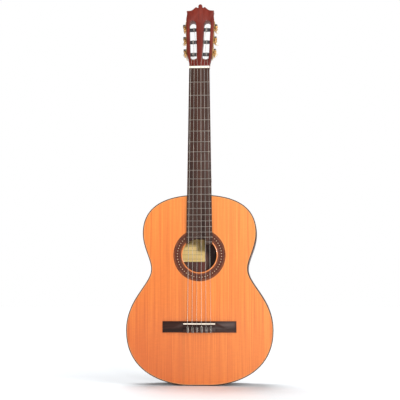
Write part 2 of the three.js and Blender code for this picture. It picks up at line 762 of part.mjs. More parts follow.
function makeThread() {
  const steps = 24;
  const depth = worm.crest - worm.core + 0.4;
  const rootHalf = gearPitch * 0.22;
  const crestHalf = gearPitch * 0.12;
  const positions = [];
  const corners = [[0, -rootHalf], [depth, -crestHalf], [depth, crestHalf], [0, rootHalf]];
  const helix = new Helix();
  const section = new THREE.ExtrudeGeometry(shapeOf(corners), { depth: steps, steps, bevelEnabled: false });
  const place = section.attributes.position;
  for (let i = 0; i < place.count; i += 1) {
    const at = helix.getPoint(Math.round(place.getZ(i)) / steps);
    const out = new THREE.Vector3(at.x, 0, at.z).normalize().multiplyScalar(place.getX(i));
    positions.push(at.x + out.x, at.y + place.getY(i) + gearPitch / 2, at.z + out.z);
  }
  place.array.set(positions);
  const made = solid(section);
  return made.intersect(block(-20, 20, -worm.half, worm.half, -20, 20));
}

// one knob: pin, worm and shaft in one, with the button on its back end; drawn about its own axis
function makeKnob(turn) {
  const lugOut = worm.half + lug.gap + lug.thickness + lug.gap;
  const shaft = spunY([
    [0, -lugOut - 0.8],
    [worm.pin + 0.7, -lugOut - 0.8],
    [worm.pin + 0.7, -lugOut],
    [worm.pin, -lugOut],
    [worm.pin, -worm.half],
    [worm.core, -worm.half],
    [worm.core, worm.half],
    [worm.pin, worm.half],
    [worm.pin, lugOut],
    [worm.core, lugOut],
    [worm.core, lugOut + 2],
    [worm.pin + 0.4, lugOut + 2.6],
    [worm.pin + 0.4, button.start - rollerDepth + 4],
    [0, button.start - rollerDepth + 4],
  ], turnedSides);
  const rings = 5;
  const profile = [];
  for (let k = 0; k <= rings; k += 1) {
    const angle = (Math.PI * k) / rings;
    const radius = k === 0 || k === rings ? 0 : Math.sin(angle) ** 0.7;
    profile.push([radius, button.start - rollerDepth + (button.length * (1 - Math.cos(angle))) / 2]);
  }
  const oval = scaled(spunY(profile, 12), button.halfWide, 1, button.halfThin);
  return union(shaft, makeThread(), turnedY(oval, turn));
}

// ---------- materials ----------
const finishes = {
  cedar: { color: 0xe08a4c, roughness: 0.35 },
  mahogany: { color: 0x7a3320, roughness: 0.4 },
  backWood: { color: 0x5e2a1c, roughness: 0.35 },
  spruce: { color: 0xd9b98c, roughness: 0.8 },
  darkTrim: { color: 0x2c1710, roughness: 0.4 },
  mosaic: { color: 0x5a2c1e, roughness: 0.4 },
  rosewood: { color: 0x3c2620, roughness: 0.55 },
  bone: { color: 0xf4e6cf, roughness: 0.4 },
  fretWire: { color: 0xb8b4ac, roughness: 0.25, metalness: 1 },
  wound: { color: 0xa9a39a, roughness: 0.35, metalness: 1 },
  nylon: { color: 0xe9e2d4, roughness: 0.25 },
  gold: { color: 0xd2a25a, roughness: 0.25, metalness: 1 },
  rollerBlack: { color: 0x1c1a20, roughness: 0.4 },
};

const part = new THREE.Group();

function add(name, finish, manifold, parent = part, position = [0, 0, 0]) {
  const mesh = new THREE.Mesh(geometryOf(manifold), new THREE.MeshStandardMaterial(finishes[finish]));
  mesh.name = name;
  mesh.position.set(...position);
  parent.add(mesh);
}

// ---------- assembly ----------
add('soundboard', 'cedar', makeSoundboard());
add('rosette', 'mosaic', makeRosette());
add('rib_bass', 'backWood', makeRib(-1));
add('rib_treble', 'backWood', makeRib(1));
add('back_plate', 'backWood', makeBackPlate());
add('top_binding', 'darkTrim', makeTopBinding());
add('back_binding', 'darkTrim', makeBackBinding());
add('top_lining', 'spruce', makeTopLining());
add('back_lining', 'spruce', makeBackLining());
add('tail_block', 'spruce', makeTailBlock());
add('top_bracing', 'spruce', makeTopBracing());
add('back_bracing', 'spruce', makeBackBracing());
add('neck', 'mahogany', makeNeck());
add('heel_cap', 'darkTrim', makeHeelCap());
add('fingerboard', 'rosewood', makeFingerboard());
add('nut', 'bone', makeNut());
add('bridge', 'rosewood', makeBridge());
add('saddle', 'bone', makeSaddle());
for (let n = 1; n <= fretCount; n += 1) {
  add(`fret_${String(n).padStart(2, '0')}`, 'fretWire', makeFret(n));
}
for (let i = 0; i < stringDiameters.length; i += 1) {
  add(`string_${6 - i}`, i < 3 ? 'wound' : 'nylon', makeString(i));
}
part.add(headGroup);
add('headstock', 'mahogany', makeHeadstock(), headGroup);
add('head_veneer', 'mahogany', makeHeadVeneer(), headGroup);
for (const side of [-1, 1]) {
  const hand = side < 0 ? 'bass' : 'treble';
  add(`tuner_plate_${hand}`, 'gold', makePlate(side), sideGroups[side]);
  rollerAxes.forEach((axis, k) => {
    const z = axis - slot.middle;
    const knobTurn = buttonTurns[side < 0 ? k : 3 + k];
    add(`roller_${hand}_${k + 1}`, 'rollerBlack', makeRoller(side), sideGroups[side], [0, rollerDepth, z]);
    const wormAt = [side * gearMiddle, rollerDepth, z + gearSpacing];
    add(`knob_${hand}_${k + 1}`, 'gold', makeKnob(knobTurn), sideGroups[side], wormAt);
  });
}

export default part;
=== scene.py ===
"""Classical guitar: the fine shapes and finishes that go round the guitar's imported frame. Metres."""

import json
import math

import bmesh
import bpy
from mathutils import Matrix, Vector
from mathutils.geometry import interpolate_bezier


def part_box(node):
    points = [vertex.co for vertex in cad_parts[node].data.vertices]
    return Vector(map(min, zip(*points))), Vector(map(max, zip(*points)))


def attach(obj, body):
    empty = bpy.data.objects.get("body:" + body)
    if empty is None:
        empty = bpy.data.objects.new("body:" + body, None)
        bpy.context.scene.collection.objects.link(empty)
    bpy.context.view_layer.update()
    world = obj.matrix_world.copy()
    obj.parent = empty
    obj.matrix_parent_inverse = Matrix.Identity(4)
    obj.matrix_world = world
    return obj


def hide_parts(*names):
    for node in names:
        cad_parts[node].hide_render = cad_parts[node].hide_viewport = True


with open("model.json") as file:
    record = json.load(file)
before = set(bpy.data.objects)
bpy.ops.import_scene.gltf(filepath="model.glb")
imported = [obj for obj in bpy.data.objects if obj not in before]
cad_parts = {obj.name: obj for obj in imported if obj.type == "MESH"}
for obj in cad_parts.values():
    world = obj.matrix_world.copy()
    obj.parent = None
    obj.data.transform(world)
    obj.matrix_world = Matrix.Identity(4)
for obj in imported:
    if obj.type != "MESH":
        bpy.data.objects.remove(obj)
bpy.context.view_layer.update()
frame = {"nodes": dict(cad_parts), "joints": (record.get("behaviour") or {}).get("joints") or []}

bl_info = {
    "name": "Classical Guitar",
    "version": (1, 0, 0),
    "blender": (4, 5, 0),
    "location": "View3D > Sidebar > Guitar",
    "description": "Builds the wood, metal, bone and strings of a classical guitar round its frame",
    "category": "Add Mesh",
}

MM = 0.001
STRINGS = ("string_6", "string_5", "string_4", "string_3", "string_2", "string_1")
HANDS = {"bass": -1, "treble": 1}
FRETS = tuple(f"fret_{n:02d}" for n in range(1, 21))


# ---------- places taken from the frame ----------
def middle_z(name):
    low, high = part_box(name)
    return (low.z + high.z) / 2


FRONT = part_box("top_binding")[0].y
BODY_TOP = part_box("top_binding")[1].z
BACK_AT_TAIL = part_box("back_binding")[1].y
SADDLE_Z = middle_z("saddle")
NUT_Z, HEAD_Z = (corner.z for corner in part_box("nut"))
BRIDGE_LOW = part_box("bridge")[0].z
HOLE_Z = middle_z("rosette")
BOARD_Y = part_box("fingerboard")[0].y
BOARD_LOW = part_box("fingerboard")[0].z
NUT_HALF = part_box("nut")[1].x
NUT_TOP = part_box("nut")[0].y
SADDLE_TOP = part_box("saddle")[0].y
HEEL_CAP_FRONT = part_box("heel_cap")[0].y
JOINTS = {joint["name"]: joint for joint in frame["joints"]}

# ---------- sizes of the body ----------
LOWER_BOUT = (185.1 * MM, 137.2 * MM)
WAIST = (122.1 * MM, 289.7 * MM)
UPPER_BOUT = (143.9 * MM, 381.6 * MM)
TAIL_FLAT = 24 * MM
TOP_THICKNESS = 2.5 * MM
BACK_THICKNESS = 3 * MM
RIB_THICKNESS = 2.2 * MM
BINDING = (2.2 * MM, 5 * MM)
PURFLING = 0.9 * MM
HEEL_DEPTH = 94 * MM
ARCH_FALL = 10.5 * MM
ARCH_AT = 200 * MM
ARCH_POWER = 2.2
GLUE = 0.1 * MM
RUNNING = 0.3 * MM
HOLE_RADIUS = 43.5 * MM
ROSETTE = (46.2 * MM, 50.4 * MM, 61 * MM, 66 * MM)
GRAFT_HALF = 5.5 * MM
LABEL = {"left": -62 * MM, "below": 14 * MM, "wide": 70 * MM, "high": 58 * MM, "off_back": 5.9 * MM}
LABEL_RULES = ((0.08, 0.92), (0.08, 0.92), (0.2, 0.8), (0.3, 0.7), (0.2, 0.8))

# ---------- sizes of the neck and head ----------
BOARD_AT_BODY = 31 * MM
BOARD_END_RADIUS = 42 * MM
TONGUE_LEFT = 13.5 * MM
STRING_LENGTH = NUT_Z - SADDLE_Z
NECK_DEPTH = (15 * MM, 17.5 * MM)
HEEL = {"length": 62 * MM, "cap": 21 * MM, "half": 13.5 * MM, "cap_thick": 2.5 * MM, "full_at": 62 * MM}
HEEL_SWEEP = 2.6
HEAD_TILT = math.radians(12)
HEAD = {"thick": 18 * MM, "veneer": 2.5 * MM, "length": 158.5 * MM}
SLOT = {"centre": 17.1 * MM, "half": 8.7 * MM, "low": 21.5 * MM, "high": 130.5 * MM}
RAIL = 8.2 * MM
ROLLER_MIDDLE = 73.3 * MM
ROLLER_BARREL = 4.8 * MM
PLATE_OUTER = SLOT["half"] + RAIL + GLUE + 1.3 * MM
SCREWS_ALONG = (27.6 * MM, 58.4 * MM, 93.6 * MM, 128 * MM)
GEAR = {"teeth": 16, "pitch": 6.4 * MM, "tip": 7.1 * MM, "root": 5.5 * MM, "width": 3 * MM}
GEAR_PITCH = 2 * math.pi * GEAR["pitch"] / GEAR["teeth"]
WORM = {"core": 2.6 * MM, "crest": 4 * MM, "half": 6 * MM, "pin": 1.5 * MM}
GEAR_MIDDLE = PLATE_OUTER + RUNNING + WORM["crest"]
BUTTON = {"start": 19 * MM, "length": 15 * MM, "wide": 8.4 * MM, "thin": 4.6 * MM}
BUTTON_TURNS = {"bass": (0.5, -0.35, 1.3), "treble": (-0.9, 0.75, 1.1)}
STRING_RADII = [d * MM / 2 for d in (1.09, 0.91, 0.74, 1.02, 0.81, 0.71)]
SPREAD = {"nut": 43 * MM, "saddle": 58 * MM}
FRET = {"half": 1 * MM, "crown": 1.1 * MM, "inset": 0.4 * MM, "sunk": 0.05 * MM}
TIE_BLOCK = {"depth": 13.5 * MM, "height": 9 * MM, "hole": 4.8 * MM}
WINDING_X = (3 * MM, -1 * MM, -3.5 * MM)

# ---------- light ----------
SUNS = {"key": ((1.1, -1.0, 1.15), 35), "front": ((0.28, -1.0, 0.14), 6), "rear": ((-0.25, 0.8, 1.5), 45)}
FLOOR_RADIUS = 14
FLOOR_DROP = 0.5 * MM


# ---------- shaping ----------
def to_mesh(bm, name):
    bmesh.ops.remove_doubles(bm, verts=bm.verts, dist=1e-6)
    bmesh.ops.recalc_face_normals(bm, faces=bm.faces)
    mesh = bpy.data.meshes.new(name)
    bm.to_mesh(mesh)
    bm.free()
    return mesh


def editable(mesh):
    bm = bmesh.new()
    bm.from_mesh(mesh)
    return bm


def linked(name, data):
    """A new object of the scene."""
    obj = bpy.data.objects.new(name, data)
    bpy.context.scene.collection.objects.link(obj)
    return obj


def joined(name, meshes):
    """Several meshes as one."""
    bm = bmesh.new()
    for mesh in meshes:
        bm.from_mesh(mesh)
    mesh = bpy.data.meshes.new(name)
    bm.to_mesh(mesh)
    bm.free()
    return mesh


def placed(mesh, matrix):
    mesh.transform(matrix)
    if matrix.determinant() < 0:
        mesh.flip_normals()
    return mesh


def sharp_edges(bm, angle=30):
    return [e for e in bm.edges if len(e.link_faces) == 2 and e.calc_face_angle(0) > math.radians(angle)]


def soften(bm, width, segments=2, edges=None):
    """Rounds a mesh's sharp edges."""
    chosen = sharp_edges(bm) if edges is None else edges
    bmesh.ops.bevel(
        bm, geom=chosen, offset=width, offset_type="OFFSET", segments=segments,
        profile=0.5, affect="EDGES", clamp_overlap=True, material=-1,
    )


def board(name, loops, depth, edge=0.0):
    """A board cut from closed loops of (x, z), from y = 0 back to depth.

    The first loop is its outline and the rest are holes.
    """
    bm = bmesh.new()
    rim = []
    for loop in loops:
        verts = [bm.verts.new((x, 0, z)) for x, z in loop]
        rim += [bm.edges.new(pair) for pair in zip(verts, verts[1:] + verts[:1])]
    bmesh.ops.triangle_fill(bm, use_beauty=True, use_dissolve=False, edges=rim)
    front = list(bm.faces)
    pushed = bmesh.ops.extrude_face_region(bm, geom=front, use_keep_orig=True)["geom"]
    moved = [v for v in pushed if isinstance(v, bmesh.types.BMVert)]
    bmesh.ops.translate(bm, verts=moved, vec=(0, depth, 0))
    bmesh.ops.recalc_face_normals(bm, faces=bm.faces)
    if edge:
        bmesh.ops.dissolve_limit(bm, angle_limit=math.radians(0.5), verts=bm.verts, edges=bm.edges)
        soften(bm, edge, edges=sharp_edges(bm, 60))
    return to_mesh(bm, name)


def box_loop(x0, x1, z0, z1):
    """A rectangle, as a board's loop."""
    return [(x0, z0), (x1, z0), (x1, z1), (x0, z1)]


def upright(z):
    """Turns a board of (x, -y) loops so that its depth goes up from z."""
    return Matrix(((1, 0, 0, 0), (0, 0, -1, 0), (0, 1, 0, z), (0, 0, 0, 1)))


def lofted(name, rows, columns, place, fill=True):
    """A grid of rows by columns whose corner (u, v) is moved to place(u, v).

    Ends that stay open are filled, unless fill is off.
    """
    bm = bmesh.new()
    bmesh.ops.create_grid(bm, x_segments=rows, y_segments=columns, size=0.5)
    for vert in bm.verts:
        vert.co = place(vert.co.x + 0.5, vert.co.y + 0.5)
    bmesh.ops.remove_doubles(bm, verts=bm.verts, dist=1e-6)
    if fill:
        bmesh.ops.holes_fill(bm, edges=[e for e in bm.edges if e.is_boundary])
    return to_mesh(bm, name)


def shell(name, rows, columns, place, thickness):
    """A lofted sheet given a thickness."""
    bm = editable(lofted(name, rows, columns, place, fill=False))
    bmesh.ops.solidify(bm, geom=bm.faces, thickness=thickness)
    return to_mesh(bm, name)


def turned(name, profile, steps=28, scale=1):
    """A profile of (radius, x), times scale, spun round the X axis."""
    bm = bmesh.new()
    verts = [bm.verts.new((x * scale, radius * scale, 0)) for radius, x in profile]
    edges = [bm.edges.new(pair) for pair in zip(verts, verts[1:])]
    bmesh.ops.spin(
        bm, geom=verts + edges, cent=(0, 0, 0), axis=(1, 0, 0), angle=2 * math.pi,
        steps=steps, use_merge=True,
    )
    return to_mesh(bm, name)


def rounded(points, bend, steps=6):
    """The points with each corner replaced by a short curve."""
    path = [points[0]]
    for before, corner, after in zip(points, points[1:], points[2:]):
        back, on = before - corner, after - corner
        start = corner + back.normalized() * min(bend, back.length * 0.45)
        end = corner + on.normalized() * min(bend, on.length * 0.45)
        for k in range(steps + 1):
            t = k / steps
            path.append(start.lerp(corner, t).lerp(corner.lerp(end, t), t))
    return path + [points[-1]]


def tube(name, points, radius, sides=3):
    """A round bar along points, with closed ends."""
    curve = bpy.data.curves.new(name, "CURVE")
    curve.dimensions = "3D"
    curve.bevel_depth = radius
    curve.bevel_resolution = sides
    curve.use_fill_caps = True
    spline = curve.splines.new("POLY")
    spline.points.add(len(points) - 1)
    for target, point in zip(spline.points, points):
        target.co = (*point, 1)
    holder = linked(name, curve)
    evaluated = holder.evaluated_get(bpy.context.evaluated_depsgraph_get())
    mesh = bpy.data.meshes.new_from_object(evaluated)
    bpy.data.objects.remove(holder)
    return to_mesh(editable(mesh), name)


def refined(source, name, edge, angle=30):
    """A copy of a frame node with its vertices merged, its flat faces joined and its edges rounded."""
    bm = editable(frame["nodes"][source].data)
    bmesh.ops.remove_doubles(bm, verts=bm.verts, dist=2e-6)
    bmesh.ops.dissolve_limit(bm, angle_limit=math.radians(0.6), verts=bm.verts, edges=bm.edges)
    soften(bm, edge, edges=sharp_edges(bm, angle))
    return to_mesh(bm, name)


def carved(mesh, cutters):
    """A mesh with the cutters' shapes taken out of it."""
    body = linked("carving", mesh)
    tools = [linked("carving_tool", cutter) for cutter in cutters]
    for tool in tools:
        modifier = body.modifiers.new("carve", "BOOLEAN")
        modifier.operation = "DIFFERENCE"
        modifier.solver = "EXACT"
        modifier.object = tool
    evaluated = body.evaluated_get(bpy.context.evaluated_depsgraph_get())
    result = bpy.data.meshes.new_from_object(evaluated)
    for used in [body, *tools]:
        bpy.data.objects.remove(used)
    return result


def piece(name, mesh, finish_name, body="root", replaces=(), smooth=35):
    """Puts a finished mesh in the scene as a piece that rides on a body."""
    mesh.name = name
    mesh.polygons.foreach_set("use_smooth", [True] * len(mesh.polygons))
    mesh.set_sharp_from_angle(angle=math.radians(smooth))
    mesh.materials.clear()
    mesh.materials.append(stuff(finish_name))
    obj = linked(name, mesh)
    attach(obj, body)
    if replaces:
        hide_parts(*replaces)


def repaint(name, finish_name):
    """Gives a frame node that stays a better finish."""
    mesh = frame["nodes"][name].data
    mesh.materials.clear()
    mesh.materials.append(stuff(finish_name))


def signed_power(value, power):
    return math.copysign(abs(value) ** power, value)


# ---------- materials ----------
FINISH = "_finish"


def new_material(name):
    material = bpy.data.materials.new(name + FINISH)
    material.use_nodes = True
    material.node_tree.nodes.clear()
    return material, material.node_tree


def node(tree, kind, inputs=(), **settings):
    """Adds a shader node; inputs maps a socket's name or number to a value or to another node's output."""
    made = tree.nodes.new("ShaderNode" + kind)
    for name, value in settings.items():
        setattr(made, name, value)
    for key, value in dict(inputs).items():
        if isinstance(value, bpy.types.NodeSocket):
            tree.links.new(value, made.inputs[key])
        else:
            made.inputs[key].default_value = value
    return made


def maths(tree, operation, *values):
    return node(tree, "Math", dict(enumerate(values)), operation=operation).outputs[0]


def weighted(tree, *pairs):
    """The sum of each value times its weight."""
    total = 0.0
    for value, weight in pairs:
        total = maths(tree, "MULTIPLY_ADD", value, weight, total)
    return total


def ramp(tree, factor, stops):
    """A colour ramp of (position, colour) stops."""
    made = node(tree, "ValToRGB", {"Fac": factor})
    elements = made.color_ramp.elements
    while len(elements) < len(stops):
        elements.new(0.5)
    for element, (position, colour) in zip(elements, stops):
        element.position = position
        element.color = (*colour, 1) if len(colour) == 3 else colour
    return made.outputs["Color"]


def grey(value):
    return (value, value, value)


def mixed(tree, factor, first, second, blend="MIX"):
    inputs = {"Fac": factor, "Color1": first, "Color2": second}
    return node(tree, "MixRGB", inputs, blend_type=blend).outputs[0]


def noise(tree, vector, scale, detail=4.0, roughness=0.55, distortion=0.0):
    inputs = {
        "Vector": vector, "Scale": scale, "Detail": detail,
        "Roughness": roughness, "Distortion": distortion,
    }
    return node(tree, "TexNoise", inputs).outputs[0]


def place_of(tree, scale=(1, 1, 1), location=(0, 0, 0), mirrored=False):
    """Object coordinates, stretched.

    Mirrored ones are the same either side of the middle, as on bookmatched wood.
    """
    vector = node(tree, "TexCoord").outputs["Object"]
    if mirrored:
        parts = node(tree, "SeparateXYZ", {0: vector})
        folded = maths(tree, "ABSOLUTE", parts.outputs[0])
        vector = node(tree, "CombineXYZ", {0: folded, 1: parts.outputs[1], 2: parts.outputs[2]}).outputs[0]
    return node(tree, "Mapping", {"Vector": vector, "Location": location, "Scale": scale}).outputs[0]


def finish(material, tree, inputs, height=None, strength=0.2, distance=0.0004):
    """Ends a material in a Principled shader, with a bump where height is given."""
    shader = node(tree, "BsdfPrincipled", inputs)
    if height is not None:
        bump = node(tree, "Bump", {"Height": height, "Strength": strength, "Distance": distance})
        tree.links.new(bump.outputs[0], shader.inputs["Normal"])
    tree.links.new(shader.outputs[0], node(tree, "OutputMaterial").inputs["Surface"])
    return material


def panel_colour(colour):
    """A colour, looked up on the panel where it is given as a name."""
    if isinstance(colour, str):
        return tuple(getattr(bpy.context.scene.guitar_colours, colour))
    return colour


def wood(name, dark, light, grain=(700, 700, 7), bands=(60, 60, 1.2), mirrored=False,
         rough=(0.35, 0.5), coat=0.0, strength=0.12, shine=0.25):
    """Wood under an optional lacquer, with fine lines over broad bands.

    The grain runs along the axis that is stretched least.
    """
    material, tree = new_material(name)
    fine = noise(tree, place_of(tree, grain, mirrored=mirrored), 1.0, 5.0, 0.6, 0.1)
    broad = noise(tree, place_of(tree, bands, (3.1, 1.7, 0.4), mirrored), 1.0, 3.0, 0.5, 0.3)
    blended = weighted(tree, (fine, 0.45), (broad, 0.55))
    colour = ramp(tree, blended, [(0.35, panel_colour(dark)), (0.68, panel_colour(light))])
    roughness = ramp(tree, fine, [(0.3, grey(rough[1])), (0.7, grey(rough[0]))])
    inputs = {
        "Base Color": colour, "Roughness": roughness, "Specular IOR Level": shine,
        "Coat Weight": coat, "Coat Roughness": 0.08,
    }
    return finish(material, tree, inputs, fine, strength, 0.0002)


def cedar(name):
    """The top: orange cedar under gloss, with close straight grain, bookmatched about the middle, and painted
    light that darkens it towards the tail and the bass side.
    """
    material, tree = new_material(name)
    lines = noise(tree, place_of(tree, (900, 20, 3), mirrored=True), 1.0, 3.0, 0.6, 0.05)
    streaks = noise(tree, place_of(tree, (330, 20, 5), (2.3, 0, 0.7), True), 1.0, 3.0, 0.5, 0.1)
    broad = noise(tree, place_of(tree, (75, 20, 1.3), (4.1, 0, 0.3), True), 1.0, 2.0, 0.5, 0.1)
    clouds = noise(tree, place_of(tree, (9, 5, 3.5), (0.6, 0, 0.2)), 1.0, 2.0, 0.5)
    silk = noise(tree, place_of(tree, (60, 20, 260), (1, 0, 2), True), 1.0, 2.0, 0.5)
    body = weighted(tree, (lines, 0.3), (streaks, 0.42), (broad, 0.28))
    palest = (0.80, 0.275, 0.052)
    dark, main = panel_colour("cedar_dark"), panel_colour("cedar")
    base = ramp(tree, body, [(0.36, dark), (0.52, main), (0.7, palest)])
    parts = node(tree, "SeparateXYZ", {0: place_of(tree)})
    across, up = parts.outputs[0], parts.outputs[2]
    # painted light: the top is made darker and deeper orange towards the tail and the bass side, and paler
    # towards the neck and the treble side, as if lit from the upper right; the clouds only vary this at
    # random
    painted_light_slope = weighted(tree, (across, 1.1), (up, 1.0), (0.05, 1.0), (clouds, 0.3))
    shade = ramp(tree, painted_light_slope, [(0.1, (0.74, 0.56, 0.36)), (0.5, (0.96, 0.93, 0.80)), (0.9, (1.0, 1.2, 1.25))])
    colour_with_painted_light = mixed(tree, 1.0, base, shade, "MULTIPLY")
    streak_x, streak_reach = -39.5 * MM, 9 * MM
    off_streak = maths(tree, "ABSOLUTE", maths(tree, "SUBTRACT", across, streak_x))
    below = maths(tree, "LESS_THAN", up, HOLE_Z)
    fall = maths(tree, "DIVIDE", off_streak, streak_reach)
    dark_line = ramp(tree, fall, [(0.0, grey(0.86)), (0.35, grey(0.95)), (1.0, grey(1.0))])
    colour_with_painted_light = mixed(tree, below, colour_with_painted_light, mixed(tree, 1.0, colour_with_painted_light, dark_line, "MULTIPLY"))
    shimmer = ramp(tree, silk, [(0.4, grey(0.96)), (0.6, grey(1.0))])
    colour_with_painted_light = mixed(tree, 1.0, colour_with_painted_light, shimmer, "MULTIPLY")
    inputs = {
        "Base Color": colour_with_painted_light, "Roughness": 0.4, "Specular IOR Level": 0.3,
        "Coat Weight": 0.35, "Coat Roughness": 0.08,
    }
    return finish(material, tree, inputs, lines, 0.05, 0.0001)


def mosaic(name):
    """The rosette's inlay: one row of pale dots between two rows of dark ones, round the soundhole."""
    material, tree = new_material(name)
    parts = node(tree, "SeparateXYZ", {0: place_of(tree, location=(0, 0, -HOLE_Z))})
    across, up = parts.outputs[0], parts.outputs[2]
    radius = maths(tree, "SQRT", weighted(tree, (across, across), (up, up)))
    angle = maths(tree, "ARCTAN2", across, up)
    cells, rows = 50, 3
    row_height = (ROSETTE[2] - ROSETTE[1]) / rows
    column = maths(tree, "MULTIPLY", angle, cells / (2 * math.pi))
    row = maths(tree, "DIVIDE", maths(tree, "SUBTRACT", radius, ROSETTE[1]), row_height)
    row_number = maths(tree, "FLOOR", row)
    shift = maths(tree, "MULTIPLY", maths(tree, "FLOORED_MODULO", row_number, 2.0), 0.5)
    dx = maths(tree, "SUBTRACT", maths(tree, "FRACT", maths(tree, "ADD", column, shift)), 0.5)
    dy = maths(tree, "SUBTRACT", maths(tree, "FRACT", row), 0.5)
    across_far, up_far = maths(tree, "ABSOLUTE", dx), maths(tree, "ABSOLUTE", dy)
    far = maths(tree, "MAXIMUM", maths(tree, "MULTIPLY", across_far, 2.0), up_far)
    dot = maths(tree, "LESS_THAN", far, 0.25)
    middle = maths(tree, "COMPARE", row_number, 1.0, 0.1)
    frame_line = maths(tree, "GREATER_THAN", far, 0.46)
    ground = mixed(tree, frame_line, (0.012, 0.005, 0.005, 1), (0.10, 0.022, 0.010, 1))
    dots = mixed(tree, middle, (0.15, 0.035, 0.014, 1), (0.62, 0.44, 0.28, 1))
    inputs = {"Base Color": mixed(tree, dot, ground, dots), "Roughness": 0.4, "Specular IOR Level": 0.12}
    return finish(material, tree, inputs)


def metal(name, colour, rough, scratch=(400, 400, 400)):
    """Plated or drawn metal with faint wear, duller and rougher where it is worn."""
    material, tree = new_material(name)
    wear = noise(tree, place_of(tree, scratch), 1.0, 5.0, 0.6)
    dull = tuple(c * 0.78 for c in colour)
    base = ramp(tree, wear, [(0.3, dull), (0.62, colour)])
    roughness = ramp(tree, wear, [(0.35, grey(rough + 0.12)), (0.65, grey(rough))])
    inputs = {"Base Color": base, "Metallic": 1.0, "Roughness": roughness}
    return finish(material, tree, inputs, wear, 0.03, 0.0001)


def wound_silver(name):
    """Silver wire wound round a core: fine ribs along the string, with painted shade in the grooves between
    the turns.
    """
    material, tree = new_material(name)
    wave = node(
        tree, "TexWave",
        {"Vector": place_of(tree, (0, 0, 1)), "Scale": 380.0, "Distortion": 0.0, "Detail": 0.0},
        wave_type="BANDS", bands_direction="Z", wave_profile="SIN",
    ).outputs[1]
    # painted shade: the grooves between the wire's turns are coloured darker than the crests
    base = ramp(tree, wave, [(0.1, (0.18, 0.16, 0.14)), (0.6, (0.60, 0.55, 0.49))])
    return finish(material, tree, {"Base Color": base, "Metallic": 1.0, "Roughness": 0.32}, wave, 0.5, 0.0001)


def smooth_stuff(name, dark, light, rough, coat=0.0, scale=60, extra=None):
    """Bone, pearl, nylon, paper or plastic: a soft cloud of two close colours."""
    material, tree = new_material(name)
    cloud = noise(tree, place_of(tree, (scale, scale, scale)), 1.0, 4.0, 0.55, 0.6)
    base = ramp(tree, cloud, [(0.3, dark), (0.7, light)])
    roughness = ramp(tree, cloud, [(0.3, grey(rough + 0.03)), (0.7, grey(rough))])
    inputs = {"Base Color": base, "Roughness": roughness, "Coat Weight": coat, "Coat Roughness": 0.1}
    inputs.update(extra or {})
    return finish(material, tree, inputs, cloud, 0.04, 0.0001)


# each finish's maker, and the values that the maker is given
FINISHES = {
    "cedar_top": (cedar, {}),
    "rosette_mosaic": (mosaic, {}),
    "wound_silver": (wound_silver, {}),
    "rosette_brown": (wood, dict(
        dark=(0.08, 0.015, 0.003), light=(0.22, 0.052, 0.010),
        grain=(300, 300, 300), bands=(80, 80, 80), shine=0.12,
    )),
    "side_wood": (wood, dict(
        dark="side_dark", light="side", grain=(500, 40, 500), bands=(50, 9, 40), coat=0.4,
    )),
    "back_wood": (wood, dict(
        dark="side_dark", light="side", grain=(600, 60, 9), bands=(60, 20, 2),
        mirrored=True, coat=0.4,
    )),
    "trim_wood": (wood, dict(
        dark=(0.022, 0.008, 0.005), light=(0.085, 0.030, 0.016), rough=(0.4, 0.5), shine=0.06,
    )),
    "neck_wood": (wood, dict(
        dark="neck_dark", light="neck", grain=(420, 420, 9), bands=(70, 70, 3), coat=0.2,
    )),
    "head_wood": (wood, dict(
        dark=(0.085, 0.006, 0.003), light=(0.20, 0.020, 0.008),
        grain=(420, 420, 9), bands=(60, 60, 5), coat=0.25,
    )),
    "rosewood": (wood, dict(
        dark="rosewood_dark", light="rosewood", grain=(520, 520, 10), bands=(80, 80, 3),
        rough=(0.45, 0.6), strength=0.2, shine=0.12,
    )),
    "bridge_wood": (wood, dict(
        dark=(0.010, 0.004, 0.003), light=(0.055, 0.022, 0.016),
        grain=(12, 520, 520), bands=(4, 80, 80),
        rough=(0.36, 0.5), strength=0.2, shine=0.15,
    )),
    "brace_wood": (wood, dict(dark=(0.46, 0.27, 0.12), light=(0.66, 0.44, 0.24), rough=(0.7, 0.85))),
    "ink_line": (smooth_stuff, dict(
        dark=(0.008, 0.004, 0.004), light=(0.02, 0.01, 0.008), rough=0.4, coat=0.4,
    )),
    "pale_line": (smooth_stuff, dict(
        dark=(0.46, 0.20, 0.07), light=(0.60, 0.30, 0.12), rough=0.4, coat=0.1,
    )),
    "bone": (smooth_stuff, dict(
        dark=(0.86, 0.74, 0.58), light=(0.95, 0.87, 0.74), rough=0.35, coat=0.3,
    )),
    "pearl": (smooth_stuff, dict(
        dark=(0.70, 0.58, 0.42), light=(0.95, 0.88, 0.76), rough=0.18, coat=0.7, scale=160,
    )),
    "nylon": (smooth_stuff, dict(
        dark=(0.78, 0.72, 0.64), light=(0.92, 0.88, 0.82), rough=0.2,
        extra={"Transmission Weight": 0.7, "IOR": 1.3},
    )),
    "roller_black": (smooth_stuff, dict(
        dark=(0.01, 0.01, 0.012), light=(0.03, 0.028, 0.034), rough=0.3, coat=0.2,
    )),
    "label_paper": (smooth_stuff, dict(
        dark=(0.90, 0.62, 0.22), light=(0.97, 0.70, 0.29), rough=0.75, scale=40,
    )),
    "label_ink": (smooth_stuff, dict(dark=(0.10, 0.05, 0.02), light=(0.16, 0.08, 0.03), rough=0.8)),
    "gold": (metal, dict(colour=(0.60, 0.37, 0.15), rough=0.26)),
    "steel": (metal, dict(colour=(0.62, 0.60, 0.58), rough=0.25)),
    "nickel": (metal, dict(colour=(0.26, 0.22, 0.19), rough=0.3, scratch=(60, 900, 900))),
}


def stuff(name):
    """One of the guitar's finishes, made when it is first asked for."""
    maker, values = FINISHES[name]
    return bpy.data.materials.get(name + FINISH) or maker(name, **values)


